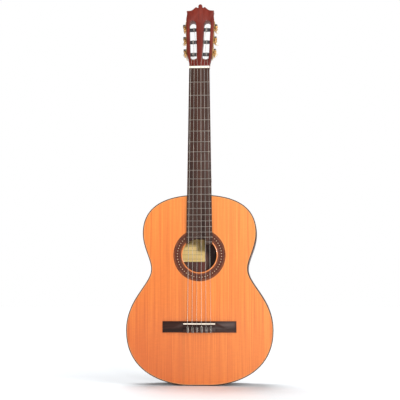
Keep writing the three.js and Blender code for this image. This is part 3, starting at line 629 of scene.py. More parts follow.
# ---------- body outline ----------
def half_outline(steps):
    """The right side from the tail's flat to the top's middle, as points and their inward directions."""
    (low_x, low_z), (mid_x, mid_z), (high_x, high_z) = LOWER_BOUT, WAIST, UPPER_BOUT
    curves = [
        ((TAIL_FLAT, 0), (TAIL_FLAT + 57.2 * MM, 0), (low_x, low_z - 110 * MM), (low_x, low_z)),
        ((low_x, low_z), (low_x, low_z + 77.4 * MM), (mid_x, mid_z - 37.2 * MM), (mid_x, mid_z)),
        ((mid_x, mid_z), (mid_x, mid_z + 25.5 * MM), (high_x, high_z - 38.1 * MM), (high_x, high_z)),
        ((high_x, high_z), (high_x, high_z + 52.8 * MM), (109.3 * MM, BODY_TOP), (0, BODY_TOP)),
    ]
    points = []
    for curve in curves:
        points += interpolate_bezier(*[Vector((x, z)) for x, z in curve], steps + 1)[:-1]
    points.append(Vector((0, BODY_TOP)))
    inward = []
    last = len(points) - 1
    for i in range(len(points)):
        along = points[min(i + 1, last)] - points[max(i - 1, 0)]
        inward.append(Vector((-along.y, along.x)).normalized())
    inward[0], inward[-1] = Vector((0, 1)), Vector((0, -1))
    return points, inward


OUTLINE_STEPS = 22
HALF, INWARD = half_outline(OUTLINE_STEPS)


def right_edge(inset):
    return [point + normal * inset for point, normal in zip(HALF, INWARD)]


def full_edge(inset):
    """The whole outline, moved in by inset."""
    right = right_edge(inset)
    return right + [Vector((-p.x, p.y)) for p in reversed(right[:-1])]


def back_at(x, z):
    """Where the back's outer face lies."""
    middle = BACK_AT_TAIL - (BACK_AT_TAIL - FRONT - HEEL_DEPTH) * z / BODY_TOP
    return middle - ARCH_FALL * (abs(x) / ARCH_AT) ** ARCH_POWER


def circle(radius, count=96, centre=(0, 0)):
    turns = [2 * math.pi / count * k for k in range(count)]
    return [(centre[0] + radius * math.sin(turn), centre[1] + radius * math.cos(turn)) for turn in turns]


def board_half(z):
    return NUT_HALF + (BOARD_AT_BODY - NUT_HALF) * (NUT_Z - z) / (NUT_Z - BODY_TOP)


def fret_z(n):
    return NUT_Z - STRING_LENGTH * (1 - 2 ** (-n / 12))


def sunk(mesh, y):
    """A board moved back so that its front face lies at y."""
    return placed(mesh, Matrix.Translation((0, y, 0)))


# ---------- soundboard and rosette ----------
def ring(name, inner, outer, y0, y1, edge=0.0):
    centre = (0, HOLE_Z)
    return sunk(board(name, [circle(outer, centre=centre), circle(inner, centre=centre)], y1 - y0, edge), y0)


class GUITAR_OT_soundboard(bpy.types.Operator):
    """Makes the cedar top and the rosette inlaid in it"""

    bl_idname = "guitar.soundboard"
    bl_label = "Soundboard"

    def execute(self, context):
        inner, brown_in, brown_out, outer = ROSETTE
        inlay = 1 * MM
        top = [(p.x, p.y) for p in full_edge(BINDING[0] + PURFLING)]
        plain = sunk(board("top", [top, circle(outer, centre=(0, HOLE_Z))], TOP_THICKNESS), FRONT)
        under = ring("under", inner, outer, FRONT + inlay, FRONT + TOP_THICKNESS)
        lip = ring("lip", HOLE_RADIUS, inner, FRONT, FRONT + TOP_THICKNESS, 0.25 * MM)
        whole = joined("soundboard_top", [plain, under, lip])
        piece("soundboard_top", whole, "cedar_top", replaces=["soundboard"])
        line = 0.7 * MM
        browns = [
            ring("a", inner + line, brown_in - line, FRONT, FRONT + inlay),
            ring("b", brown_out + line, outer - line, FRONT, FRONT + inlay),
        ]
        lines = [
            ring("c", inner, inner + line, FRONT, FRONT + inlay),
            ring("d", brown_in - line, brown_in, FRONT, FRONT + inlay),
            ring("e", brown_out, brown_out + line, FRONT, FRONT + inlay),
            ring("f", outer - line, outer, FRONT, FRONT + inlay),
        ]
        tiles = ring("rosette_mosaic", brown_in, brown_out, FRONT, FRONT + inlay)
        piece("rosette_mosaic", tiles, "rosette_mosaic", replaces=["rosette"])
        piece("rosette_rings", joined("rosette_rings", browns), "rosette_brown")
        piece("rosette_lines", joined("rosette_lines", lines), "ink_line")
        return {"FINISHED"}


# ---------- sides, binding and back ----------
def edge_band(name, section, surface):
    """A band round the body: section lists (inset, depth) corners, and surface gives y at (x, z)."""
    loop = section + section[:1]
    count = len(full_edge(0)) + 1

    def place(u, v):
        inset, depth = loop[round(v * (len(loop) - 1))]
        edge = edges[inset]
        point = edge[round(u * (count - 1)) % len(edge)]
        return Vector((point.x, surface(point.x, point.y) + depth, point.y))

    edges = {inset: full_edge(inset) for inset, _ in section}
    return lofted(name, count - 1, len(loop) - 1, place)


class GUITAR_OT_sides(bpy.types.Operator):
    """Makes the bent sides, the dark binding, its pale line and the graft at the tail"""

    bl_idname = "guitar.sides"
    bl_label = "Sides and binding"

    def execute(self, context):
        width, depth = BINDING
        first = FRONT + depth
        for hand, side in HANDS.items():
            path = [Vector((GRAFT_HALF, 0))] + [p for p in HALF if p.x > GRAFT_HALF + 4 * MM]

            def place(u, v, side=side, path=path):
                point = path[round(u * (len(path) - 1))]
                back = back_at(point.x, point.y) - depth
                return Vector((side * point.x, first + (back - first) * v, point.y))

            mesh = shell("side_" + hand, len(path) - 1, 4, place, RIB_THICKNESS)
            grown_outwards = min(v.co.z for v in mesh.vertices) < -0.5 * MM
            if grown_outwards:
                mesh = shell("side_" + hand, len(path) - 1, 4, place, -RIB_THICKNESS)
            piece("side_" + hand, mesh, "side_wood", replaces=["rib_" + hand])
        rim = [(0, depth), (0, 0.5 * MM), (0.15 * MM, 0.15 * MM), (0.5 * MM, 0), (width, 0), (width, depth)]
        piece(
            "top_edge", edge_band("top_edge", rim, lambda x, z: FRONT),
            "trim_wood", replaces=["top_binding"],
        )
        back_rim = [(inset, -fall) for inset, fall in rim]
        piece(
            "back_edge", edge_band("back_edge", back_rim, back_at),
            "trim_wood", replaces=["back_binding"],
        )
        line = box_loop(width, width + PURFLING, 0, 1.5 * MM)
        purfling = edge_band("top_purfling", line, lambda x, z: FRONT)
        piece("top_purfling", purfling, "pale_line")
        back_end = back_at(0, 0) - depth
        graft = board("graft", [box_loop(-GRAFT_HALF, GRAFT_HALF, 0, RIB_THICKNESS)], back_end - first)
        piece("tail_graft", sunk(graft, first), "trim_wood")
        return {"FINISHED"}


class GUITAR_OT_back(bpy.types.Operator):
    """Makes the arched back and the pale strip down its middle"""

    bl_idname = "guitar.back"
    bl_label = "Back"

    def execute(self, context):
        path = right_edge(BINDING[0])

        def place(u, v):
            point = path[round(u * (len(path) - 1))]
            x = point.x * (2 * v - 1)
            return Vector((x, back_at(x, point.y), point.y))

        mesh = shell("back", len(path) - 1, 28, place, BACK_THICKNESS)
        grown_outwards = max(v.co.y for v in mesh.vertices) > BACK_AT_TAIL + 1e-5
        if grown_outwards:
            mesh = shell("back", len(path) - 1, 28, place, -BACK_THICKNESS)
        piece("back_arched", mesh, "back_wood", replaces=["back_plate"])
        low, high, half = path[0].y + 1 * MM, BODY_TOP - 4 * MM, 1.4 * MM

        def strip(u, v):
            z = low + (high - low) * u
            x, out = [(-half, 0.06), (half, 0.06), (half, -1), (-half, -1), (-half, 0.06)][round(v * 4)]
            return Vector((x, back_at(0, z) + out * MM * 0.5, z))

        piece("back_strip", lofted("back_strip", 40, 4, strip), "pale_line")
        return {"FINISHED"}


# ---------- inside ----------
class GUITAR_OT_inside(bpy.types.Operator):
    """Finishes the blocks, bars and linings, and lays a plain ruled label on the back"""

    bl_idname = "guitar.inside"
    bl_label = "Inside"

    def execute(self, context):
        for name in ("top_lining", "back_lining", "tail_block", "top_bracing"):
            repaint(name, "brace_wood")
        repaint("back_bracing", "neck_wood")
        slope = (BACK_AT_TAIL - FRONT - HEEL_DEPTH) / BODY_TOP
        low, wide, high = HOLE_Z - LABEL["below"], LABEL["wide"], LABEL["high"]
        sheet = board("label", [box_loop(0, wide, 0, high)], 0.3 * MM)
        rules = []
        for k, (start, end) in enumerate(LABEL_RULES):
            z = high * (0.12 + 0.19 * k)
            rules.append(board("rule", [box_loop(start * wide, end * wide, z, z + 0.5 * MM)], 0.1 * MM))
        rules = joined("rules", rules)
        for name, mesh, lift in (("label_paper", sheet, 0), ("label_ink", rules, 0.12 * MM)):
            y = back_at(0, low) - LABEL["off_back"] - lift
            lay = Matrix(((1, 0, 0, LABEL["left"]), (0, 1, -slope, y), (0, 0, 1, low), (0, 0, 0, 1)))
            piece(name, placed(mesh, lay), name)
        return {"FINISHED"}


# ---------- neck ----------
def heel_depth(z):
    """How far back the neck reaches at height z, from the body's top to the nut."""
    plain = NECK_DEPTH[0] + (NECK_DEPTH[1] - NECK_DEPTH[0]) * (NUT_Z - z) / (NUT_Z - BODY_TOP)
    end = HEEL_DEPTH - HEEL["cap_thick"] - GLUE
    rise = (z - BODY_TOP) / HEEL["length"]
    if rise >= 1:
        return plain
    cap = HEEL["cap"] / HEEL["length"]
    if rise <= cap:
        return end
    t = (rise - cap) / (1 - cap)
    return plain + (end - plain) * (1 - t) ** HEEL_SWEEP


def heel_half(depth, z):
    """Half the neck's width at a depth behind the fingerboard."""
    wide = board_half(z)
    start, end = NECK_DEPTH[1] * 0.6, HEEL["full_at"]
    t = min(1, max(0, (depth - start) / (end - start)))
    eased = t * t * (3 - 2 * t)
    return wide + (HEEL["half"] - wide) * eased


class GUITAR_OT_neck(bpy.types.Operator):
    """Makes the neck with its carved heel, and the heel's cap"""

    bl_idname = "guitar.neck"
    bl_label = "Neck"

    def execute(self, context):
        low, high = BODY_TOP - 1.5 * MM, HEAD_Z
        rows, columns = 120, 40
        crowding = 1.6  # packs the rows towards the heel

        def place(u, v):
            z = low + (high - low) * u ** crowding
            reach = heel_depth(z)
            turn = math.pi * v
            squareness = 2 + 7 * min(1, max(0, (reach - NECK_DEPTH[1]) / (HEEL_DEPTH - NECK_DEPTH[1])))
            across, back = math.cos(turn), math.sin(turn)
            power = 2 / squareness
            depth = reach * abs(back) ** power
            x = signed_power(across, power) * heel_half(depth, min(z, NUT_Z))
            z_tilt = -depth * math.tan(HEAD_TILT) * max(0, (z - NUT_Z) / (HEAD_Z - NUT_Z))
            return Vector((x, FRONT + depth, z + z_tilt))

        piece(
            "neck_carved", lofted("neck_carved", rows, columns, place), "neck_wood",
            replaces=["neck"], smooth=50,
        )
        half, length = HEEL["half"], HEEL["cap"]
        curve = interpolate_bezier(
            Vector((half, length * 0.3)), Vector((half, length * 0.8)), Vector((half * 0.5, length)),
            Vector((0, length)), 12,
        )
        right = [(half, 0.3 * MM)] + [(p.x, p.y) for p in curve]
        loop = [(x, BODY_TOP + z) for x, z in right + [(-x, z) for x, z in reversed(right[:-1])]]
        cap = sunk(board("heel_plate", [loop], HEEL["cap_thick"] - GLUE, 0.5 * MM), HEEL_CAP_FRONT)
        piece("heel_plate", cap, "trim_wood", replaces=["heel_cap"])
        return {"FINISHED"}


# ---------- headstock ----------
def head_matrix():
    """From the head's own frame, x across, y back and z along the head from the nut, to the row's."""
    back = Vector(JOINTS["knob_treble_1_turn"]["axis"])
    across = Vector((1, 0, 0))
    along = across.cross(back)
    turn = Matrix((across, back, along)).transposed().to_4x4()
    return Matrix.Translation((0, FRONT, HEAD_Z + GLUE)) @ turn


def side_point(x, z, side=1):
    """A point of a side's frame, in the head's.

    Its x runs outwards from the slot's middle line and its z from the middle roller.
    """
    lean = side_lean()
    across = SLOT["centre"] + x * math.cos(lean) + z * math.sin(lean)
    return (side * across, ROLLER_MIDDLE + z * math.cos(lean) - x * math.sin(lean))


def side_lean():
    axis = Vector(JOINTS["roller_treble_1_turn"]["axis"])
    return math.acos(min(1, abs(axis.x)))


def head_outline():
    outer = SLOT["half"] + RAIL
    low = Vector(side_point(outer, 42 * MM - ROLLER_MIDDLE))
    high = Vector(side_point(outer, 134 * MM - ROLLER_MIDDLE))
    length = HEAD["length"]
    ear = Vector((high.x - 0.6 * MM, length))
    ear_foot = ear + Vector((-1.4 * MM, -5 * MM))
    crest = length + 19 * MM
    start = Vector((NUT_HALF, 0.2 * MM))
    point = lambda x, z: Vector((x * MM, length + z * MM))
    stretches = [
        (start, Vector((NUT_HALF - 0.8 * MM, 14 * MM)), Vector((low.x - 1.2 * MM, 26 * MM)), low, 12),
        (low, low, high, high, 2),
        (high, high + Vector((0, 6 * MM)), ear + Vector((-1.6 * MM, -12 * MM)), ear_foot, 8),
        (ear_foot, ear + Vector((-1.2 * MM, -3 * MM)), ear, ear, 5),
        (ear, ear, point(26.5, 0.6), point(26.5, 0.6), 2),
        (point(26.5, 0.6), point(19, 1.5), point(16, 9), point(10.8, 11), 14),
        (point(10.8, 11), point(9.6, 11.2), point(9, 8.6), point(7.6, 8.6), 6),
        (point(7.6, 8.6), point(6.6, 8.6), point(5.4, 9.2), point(4.4, 10.4), 5),
        (point(4.4, 10.4), point(6.8, 12), point(4.8, 19), point(0, 19), 12),
    ]
    right = []
    for *curve, count in stretches:
        right += interpolate_bezier(*curve, count)[:-1]
    right.append(Vector((0, crest)))
    left = [Vector((-p.x, p.y)) for p in reversed(right[:-1])]
    return [(p.x, p.y) for p in right + left]


def slot_loop(side):
    half = SLOT["half"]
    low, high = SLOT["low"] + half - ROLLER_MIDDLE, SLOT["high"] - half - ROLLER_MIDDLE
    loop = []
    for centre, start in ((low, math.pi), (high, 0)):
        for k in range(17):
            turn = start + math.pi * k / 16
            loop.append(side_point(half * math.cos(turn), centre + half * math.sin(turn), side))
    return loop


def ramp_cutter(side):
    """The wedge that lets three strings down into a slot."""
    front = -HEAD["veneer"] - 1 * MM
    half = SLOT["half"] - 0.8 * MM
    corners = [(front, 6 * MM), (front + 0.9 * MM, 9 * MM), (4.5 * MM, 27 * MM), (front, 40 * MM)]
    bm = bmesh.new()
    ends = []
    for x in (-half, half):
        verts = []
        for y, z in corners:
            across, along = side_point(x, z - ROLLER_MIDDLE, side)
            verts.append(bm.verts.new((across, y, along)))
        ends.append(bm.faces.new(verts))
    bmesh.ops.bridge_loops(bm, edges=[e for face in ends for e in face.edges])
    bmesh.ops.recalc_face_normals(bm, faces=bm.faces)
    return to_mesh(bm, "ramp")


class GUITAR_OT_head(bpy.types.Operator):
    """Makes the slotted head and the veneer on its face"""

    bl_idname = "guitar.head"
    bl_label = "Headstock"

    def execute(self, context):
        loops = [head_outline(), slot_loop(-1), slot_loop(1)]
        ramps = [ramp_cutter(-1), ramp_cutter(1)]
        block = carved(board("head_block", loops, HEAD["thick"], 0.8 * MM), ramps)
        piece(
            "head_block", placed(block, head_matrix()), "neck_wood",
            replaces=["headstock"], smooth=40,
        )
        face = sunk(board("head_face", loops, HEAD["veneer"], 0.35 * MM), -HEAD["veneer"] - 0.05 * MM)
        face = carved(face, ramps)
        piece(
            "head_face", placed(face, head_matrix()), "head_wood",
            replaces=["head_veneer"], smooth=40,
        )
        return {"FINISHED"}


# ---------- fingerboard, frets, nut ----------
class GUITAR_OT_fingerboard(bpy.types.Operator):
    """Makes the fingerboard, its frets and the nut"""

    bl_idname = "guitar.fingerboard"
    bl_label = "Fingerboard"

    def execute(self, context):
        bass = board_half(HOLE_Z + BOARD_END_RADIUS * 0.65)
        loop = [(NUT_HALF, NUT_Z), (-NUT_HALF, NUT_Z)]
        for k in range(25):
            x = -bass + (TONGUE_LEFT + bass) * k / 24
            loop.append((x, HOLE_Z + math.sqrt(BOARD_END_RADIUS ** 2 - x ** 2)))
        loop += [(TONGUE_LEFT, BOARD_LOW), (board_half(BOARD_LOW), BOARD_LOW)]
        wood_board = sunk(board("board", [loop], FRONT - BOARD_Y, 0.5 * MM), BOARD_Y)
        piece("fingerboard_wood", wood_board, "rosewood", replaces=["fingerboard"])
        wires = [self.wire(n) for n in range(1, len(FRETS) + 1)]
        piece("frets", joined("frets", wires), "nickel", replaces=list(FRETS), smooth=60)
        self.make_nut()
        return {"FINISHED"}

    def wire(self, n):
        z, half = fret_z(n), board_half(fret_z(n)) - FRET["inset"]
        start = TONGUE_LEFT + FRET["inset"] if n == len(FRETS) else -half

        def place(u, v):
            turn = math.pi * v
            end = math.sin(math.pi * min(0.5, 12 * min(u, 1 - u))) if min(u, 1 - u) < 1 / 24 else 1
            height = FRET["crown"] * math.sin(turn) * end
            x, y = start + (half - start) * u, BOARD_Y - height + FRET["sunk"]
            return Vector((x, y, z + FRET["half"] * math.cos(turn)))

        return lofted(f"wire_{n}", 48, 10, place)

    def make_nut(self):
        top = NUT_TOP - 0.5 * MM
        loop = [(-NUT_HALF, FRONT), (-NUT_HALF, top + 0.4 * MM), (-NUT_HALF + 0.5 * MM, top)]
        for i, radius in enumerate(STRING_RADII):
            x = string_x(i, "nut")
            loop += [(x - radius - 0.15 * MM, top), (x - radius * 0.8, NUT_TOP), (x + radius * 0.8, NUT_TOP)]
            loop.append((x + radius + 0.15 * MM, top))
        loop += [(NUT_HALF - 0.5 * MM, top), (NUT_HALF, top + 0.4 * MM), (NUT_HALF, FRONT)]
        mesh = board("nut", [[(x, -y) for x, y in loop]], HEAD_Z - NUT_Z, 0.12 * MM)
        piece("nut_bone", placed(mesh, upright(NUT_Z)), "bone", replaces=["nut"])


# ---------- bridge ----------
class GUITAR_OT_bridge(bpy.types.Operator):
    """Makes the tie bridge and its saddle"""

    bl_idname = "guitar.bridge"
    bl_label = "Bridge"

    def execute(self, context):
        wood_bridge = refined("bridge", "bridge_wood", 0.45 * MM, 24)
        piece("bridge_tie", wood_bridge, "bridge_wood", replaces=["bridge"], smooth=40)
        low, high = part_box("saddle")
        loop = [(low.x, -high.y), (low.x, -low.y - 0.8 * MM), (low.x + 0.8 * MM, -low.y)]
        loop += [(high.x - 0.8 * MM, -low.y), (high.x, -low.y - 0.8 * MM), (high.x, -high.y)]
        mesh = board("saddle", [loop], high.z - low.z, 0.9 * MM)
        piece("saddle_bone", placed(mesh, upright(low.z)), "bone", replaces=["saddle"], smooth=40)
        return {"FINISHED"}


# ---------- strings ----------
def string_x(i, where):
    return SPREAD[where] * (i / (len(STRINGS) - 1) - 0.5)


def roller_of(i):
    """Which hand's roller a string winds on, counted from the nut."""
    return ("bass", i) if i < 3 else ("treble", 5 - i)


def roller_matrix(hand, k):
    """From a roller's own frame, x along its axis towards the treble side, y back, to the row's."""
    roller, knob = JOINTS[f"roller_{hand}_{k + 1}_turn"], JOINTS[f"knob_{hand}_{k + 1}_turn"]
    across, back = Vector(roller["axis"]), Vector(knob["axis"])
    turn = Matrix((across, back, across.cross(back))).transposed().to_4x4()
    return Matrix.Translation(roller["pos_m"]) @ turn


class GUITAR_OT_strings(bpy.types.Operator):
    """Makes the six strings, from their ties at the bridge to the rollers, and the turns round the rollers"""

    bl_idname = "guitar.strings"
    bl_label = "Strings"

    def execute(self, context):
        for i, name in enumerate(STRINGS):
            hand, k = roller_of(i)
            wound = i < 3
            finish_name, slot = ("wound_silver", "wound_string") if wound else ("nylon", "nylon")
            mesh = tube(name, self.path(i, hand, k), STRING_RADII[i])
            piece(name + "_line", mesh, finish_name, replaces=[name], smooth=80)
            coil = tube(name + "_turns", self.turns(i, hand, k), STRING_RADII[i])
            body = f"roller_{hand}_{k + 1}"
            piece(name + "_turns", coil, finish_name, body=body, smooth=80)
        return {"FINISHED"}

    def path(self, i, hand, k):
        radius, x = STRING_RADII[i], string_x(i, "saddle")
        at = lambda dx, height, z: Vector((x + dx * MM, FRONT - height, z))
        low, top = BRIDGE_LOW, BRIDGE_LOW + TIE_BLOCK["depth"]
        over, hole = TIE_BLOCK["height"] + radius, TIE_BLOCK["hole"]
        rise = FRONT - SADDLE_TOP + radius + 0.05 * MM
        points = [
            at(2.5, 4 * MM, low - 1.1 * MM),
            at(2.5, over, low - 0.6 * MM),
            at(2.1, over, top + 0.3 * MM),
            at(1.1, over - 1.6 * MM, top + 1.4 * MM),
            at(-1.0, over - 2.2 * MM, top + 1.3 * MM),
            at(-1.3, over, top),
            at(-0.6, over, low + 1.5 * MM),
            at(0, over - 0.4 * MM, low - 0.8 * MM),
            at(0, hole, low - 0.9 * MM),
            at(0, hole, top + 0.6 * MM),
            at(0, rise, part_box("saddle")[0].z),
            at(0, rise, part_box("saddle")[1].z),
            Vector((string_x(i, "nut"), NUT_TOP - radius - 0.02 * MM, NUT_Z)),
            Vector((string_x(i, "nut"), NUT_TOP - radius - 0.02 * MM, HEAD_Z)),
        ]
        side = HANDS[hand]
        meets = Vector((side * WINDING_X[k], -ROLLER_BARREL - radius, 0))
        points.append(roller_matrix(hand, k) @ meets)
        return rounded(points, 1.1 * MM)

    def turns(self, i, hand, k):
        radius, side = STRING_RADII[i], HANDS[hand]
        reach = ROLLER_BARREL + radius
        pitch, count, steps = radius * 2.1, 3.6, 24
        inward = 1 if side * WINDING_X[k] < 0 else -1
        total = int(count * steps)
        points = []
        for s in range(total + 1):
            turn = 2 * math.pi * s / steps
            x = side * WINDING_X[k] + inward * pitch * turn / (2 * math.pi)
            at = Vector((x, -reach * math.cos(turn), reach * math.sin(turn)))
            points.append(roller_matrix(hand, k) @ at)
        return points


# ---------- tuning machines ----------
def gear_loop():
    """The gear's outline: every tooth's four corners, as (radius, offset in pitches)."""
    root, tip = GEAR["root"], GEAR["tip"]
    tooth = ((root, -0.27), (tip, -0.11), (tip, 0.11), (root, 0.27))
    loop = []
    for k in range(GEAR["teeth"]):
        middle = math.pi / 2 + 2 * math.pi * k / GEAR["teeth"]
        for radius, offset in tooth:
            turn = middle + offset * GEAR_PITCH / radius
            loop.append((radius * math.cos(turn), radius * math.sin(turn)))
    return loop


def screw_head(radius):
    """A domed screw head with a slot, its top towards +X."""
    dome = [(0, 0.5), (0.6, 0.42), (1, 0.1), (1, 0), (0, 0)]
    slot_floor = [(0, 0.12), (0.97, 0.1), (0.97, 0), (0, 0)]
    halves = []
    for side in (-1, 1):
        bm = editable(turned("screw", dome, 20, radius))
        plane = {"plane_co": (0, 0, side * radius * 0.13), "plane_no": (0, 0, side)}
        whole = bm.verts[:] + bm.edges[:] + bm.faces[:]
        bmesh.ops.bisect_plane(bm, geom=whole, clear_inner=True, **plane)
        bmesh.ops.holes_fill(bm, edges=[e for e in bm.edges if e.is_boundary])
        halves.append(to_mesh(bm, "screw_half"))
    return joined("screw", halves + [turned("screw_floor", slot_floor, 20, radius)])


def worm_thread():
    """The worm's thread, swept round the X axis: a trapezoid whose crests face a gear's gaps."""
    section = [(0, -0.22), (1, -0.12), (1, 0.12), (0, 0.22), (0, -0.22)]
    turns = 4

    def place(u, v):
        turn = (u - 0.5) * turns * 2 * math.pi
        fade = min(1, 14 * min(u, 1 - u))
        high, along = section[round(v * 4)]
        foot = WORM["core"] - 0.3 * MM
        radius = foot + high * fade * (WORM["crest"] - foot)
        y = GEAR_PITCH * (turn / (2 * math.pi) + 0.5 + along)
        y = max(-WORM["half"], min(WORM["half"], y))
        return Vector((radius * math.sin(turn), y, -radius * math.cos(turn)))

    return lofted("thread", 96, 4, place)


Y_FROM_X = Matrix(((0, -1, 0, 0), (1, 0, 0, 0), (0, 0, 1, 0), (0, 0, 0, 1)))


class GUITAR_OT_tuners(bpy.types.Operator):
    """Makes the gold plates, the rollers with their gears, and the worm shafts with their buttons"""

    bl_idname = "guitar.tuners"
    bl_label = "Tuning machines"

    def execute(self, context):
        for hand, side in HANDS.items():
            plate = refined(f"tuner_plate_{hand}", "plate", 0.2 * MM)
            piece(f"plate_{hand}", plate, "gold", replaces=[f"tuner_plate_{hand}"], smooth=40)
            self.plate_screws(hand, side)
            for k in range(3):
                self.make_roller(hand, side, k)
                self.make_knob(hand, k)
        return {"FINISHED"}

    def plate_screws(self, hand, side):
        frame_of = roller_matrix(hand, 1)
        heads = []
        for z in SCREWS_ALONG:
            at = Vector((side * PLATE_OUTER, 0, z - ROLLER_MIDDLE))
            turn = Matrix.Rotation(z * 900, 4, "X")
            flip = Matrix.Scale(side, 4, (1, 0, 0))
            heads.append(placed(screw_head(2.3 * MM), frame_of @ Matrix.Translation(at) @ flip @ turn))
        piece(f"plate_screws_{hand}", joined("screws", heads), "gold", smooth=40)

    def make_roller(self, hand, side, k):
        body = f"roller_{hand}_{k + 1}"
        at = roller_matrix(hand, k) @ Matrix.Scale(side, 4, (1, 0, 0))
        half, run, barrel = SLOT["half"], RUNNING, ROLLER_BARREL
        spool = turned("spool", [
            (0, -half - 4 * MM), (2 * MM, -half - 4 * MM), (2 * MM, -half + run),
            (barrel - 0.3 * MM, -half + run),
            (barrel, -half + run + 0.3 * MM), (barrel, half - run - 0.3 * MM),
            (barrel - 0.3 * MM, half - run),
            (3 * MM, half - run), (3 * MM, half + RAIL - run), (0, half + RAIL - run),
        ])
        piece(
            body + "_spool", placed(spool, at), "roller_black",
            body=body, replaces=[body], smooth=40,
        )
        start, end = PLATE_OUTER + 0.4 * MM, GEAR_MIDDLE + GEAR["width"] / 2
        hub = turned("hub", [
            (0, half + RAIL - 0.2 * MM), (1.9 * MM, half + RAIL - 0.2 * MM), (1.9 * MM, start),
            (3.4 * MM, start),
            (3.4 * MM, end), (0, end),
        ])
        wheel = board("wheel", [gear_loop()], GEAR["width"], 0.12 * MM)
        inner = GEAR_MIDDLE - GEAR["width"] / 2
        lay = Matrix(((0, 1, 0, inner), (1, 0, 0, 0), (0, 0, 1, 0), (0, 0, 0, 1)))
        metal_parts = joined("gear", [hub, placed(wheel, lay)])
        piece(body + "_gear", placed(metal_parts, at), "gold", body=body, smooth=30)
        flatter = Matrix.Scale(0.7, 4, (1, 0, 0))
        screw = placed(screw_head(2.2 * MM), Matrix.Translation((end - 0.05 * MM, 0, 0)) @ flatter)
        piece(body + "_screw", placed(screw, at), "steel", body=body, smooth=40)

    def make_knob(self, hand, k):
        body = f"knob_{hand}_{k + 1}"
        joint = JOINTS[body + "_turn"]
        frame_of = roller_matrix(hand, k)
        at = Matrix.Translation(joint["pos_m"]) @ frame_of.to_3x3().to_4x4()
        out = WORM["half"] + 2 * MM
        shaft = turned("shaft", [
            (0, -out - 0.8 * MM), (1.6 * MM, -out - 0.8 * MM), (2.2 * MM, -out - 0.4 * MM),
            (2.2 * MM, -out),
            (WORM["pin"], -out), (WORM["pin"], -WORM["half"]), (WORM["core"], -WORM["half"]),
            (WORM["core"], WORM["half"]), (WORM["pin"], WORM["half"]), (WORM["pin"], out), (2.6 * MM, out),
            (2.6 * MM, out + 1.6 * MM), (2 * MM, out + 2.2 * MM), (1.9 * MM, BUTTON["start"] - 3 * MM),
            (2.9 * MM, BUTTON["start"] - 2 * MM), (3.1 * MM, BUTTON["start"] - 0.4 * MM),
            (2.6 * MM, BUTTON["start"] + 0.6 * MM), (0, BUTTON["start"] + 0.6 * MM),
        ])
        worm = joined("worm", [placed(shaft, Y_FROM_X), worm_thread()])
        piece(body + "_worm", placed(worm, at), "gold", body=body, replaces=[body], smooth=35)
        cap = turned("cap", [
            (0, -out - 1.9 * MM), (1.5 * MM, -out - 1.7 * MM), (2.4 * MM, -out - 1.0 * MM),
            (2.4 * MM, -out - 0.2 * MM),
            (1.4 * MM, -out - 0.1 * MM), (0, -out - 0.1 * MM),
        ])
        piece(body + "_cap", placed(placed(cap, Y_FROM_X), at), "roller_black", body=body)
        turn = Matrix.Rotation(BUTTON_TURNS[hand][k], 4, "Y")
        button = placed(self.button(), at @ turn)
        piece(body + "_button", button, "pearl", body=body, smooth=60)

    def button(self):
        wide, thin, length = BUTTON["wide"], BUTTON["thin"], BUTTON["length"]

        def place(u, v):
            along = -math.cos(math.pi * u)
            fall = max(0.0, 1 - abs(along) ** 2.6) ** (1 / 2.6)
            turn = 2 * math.pi * v
            swell = 1 + 0.1 * along
            x = signed_power(math.cos(turn), 0.8) * wide * 0.98 * fall * swell / 1.05
            z = signed_power(math.sin(turn), 0.8) * thin * 0.96 * fall * (1 - 0.15 * along) / 1.1
            return Vector((x, BUTTON["start"] + length * (along + 1) / 2, z))

        return lofted("button", 22, 36, place)


# ---------- stage ----------
class GUITAR_OT_stage(bpy.types.Operator):
    """Sets the pale floor, the white surround, the suns and the camera"""

    bl_idname = "guitar.stage"
    bl_label = "Stage"

    def execute(self, context):
        view = context.scene.guitar_view
        self.make_floor()
        self.make_world()
        for name, (place, spread) in SUNS.items():
            self.add_sun(name, place, spread, getattr(view, name + "_power"))
        context.scene.view_settings.view_transform = "Standard"
        data = bpy.data.cameras.new("camera")
        data.lens = view.lens
        camera = linked("camera", data)
        camera.location = view.camera_place
        aim = Vector(view.camera_aim) - Vector(view.camera_place)
        camera.rotation_euler = aim.to_track_quat("-Z", "Y").to_euler()
        context.scene.camera = camera
        return {"FINISHED"}

    def make_floor(self):
        """A wide round floor, a hair below the guitar."""
        bm = bmesh.new()
        lower = Matrix.Translation((0, 0, -FLOOR_DROP))
        bmesh.ops.create_circle(bm, cap_ends=True, segments=96, radius=FLOOR_RADIUS, matrix=lower)
        mesh = to_mesh(bm, "floor")
        material, tree = new_material("studio_white")
        dust = noise(tree, place_of(tree), 3.0)
        roughness = ramp(tree, dust, [(0, grey(0.3)), (1, grey(0.36))])
        inputs = {"Base Color": (0.94, 0.965, 0.99, 1), "Roughness": roughness, "Specular IOR Level": 0.12}
        mesh.materials.append(finish(material, tree, inputs))
        linked("floor", mesh)

    def make_world(self):
        """A white surround that lights the guitar more softly than it looks."""
        world = bpy.data.worlds.new("studio")
        world.use_nodes = True
        tree = world.node_tree
        tree.nodes.clear()
        seen = node(tree, "Background", {"Color": (1, 1, 1, 1), "Strength": 1.0})
        surround = bpy.context.scene.guitar_view.surround
        lit = node(tree, "Background", {"Color": (1, 1, 1, 1), "Strength": surround})
        direct = node(tree, "LightPath").outputs["Is Camera Ray"]
        both = node(tree, "MixShader", {0: direct, 1: lit.outputs[0], 2: seen.outputs[0]})
        node(tree, "OutputWorld", {"Surface": both.outputs[0]})
        bpy.context.scene.world = world

    def add_sun(self, name, place, spread, power):
        data = bpy.data.lights.new(name, "SUN")
        data.angle = math.radians(spread)
        data.energy = power
        linked(name, data).rotation_euler = (-Vector(place)).to_track_quat("-Z", "Y").to_euler()


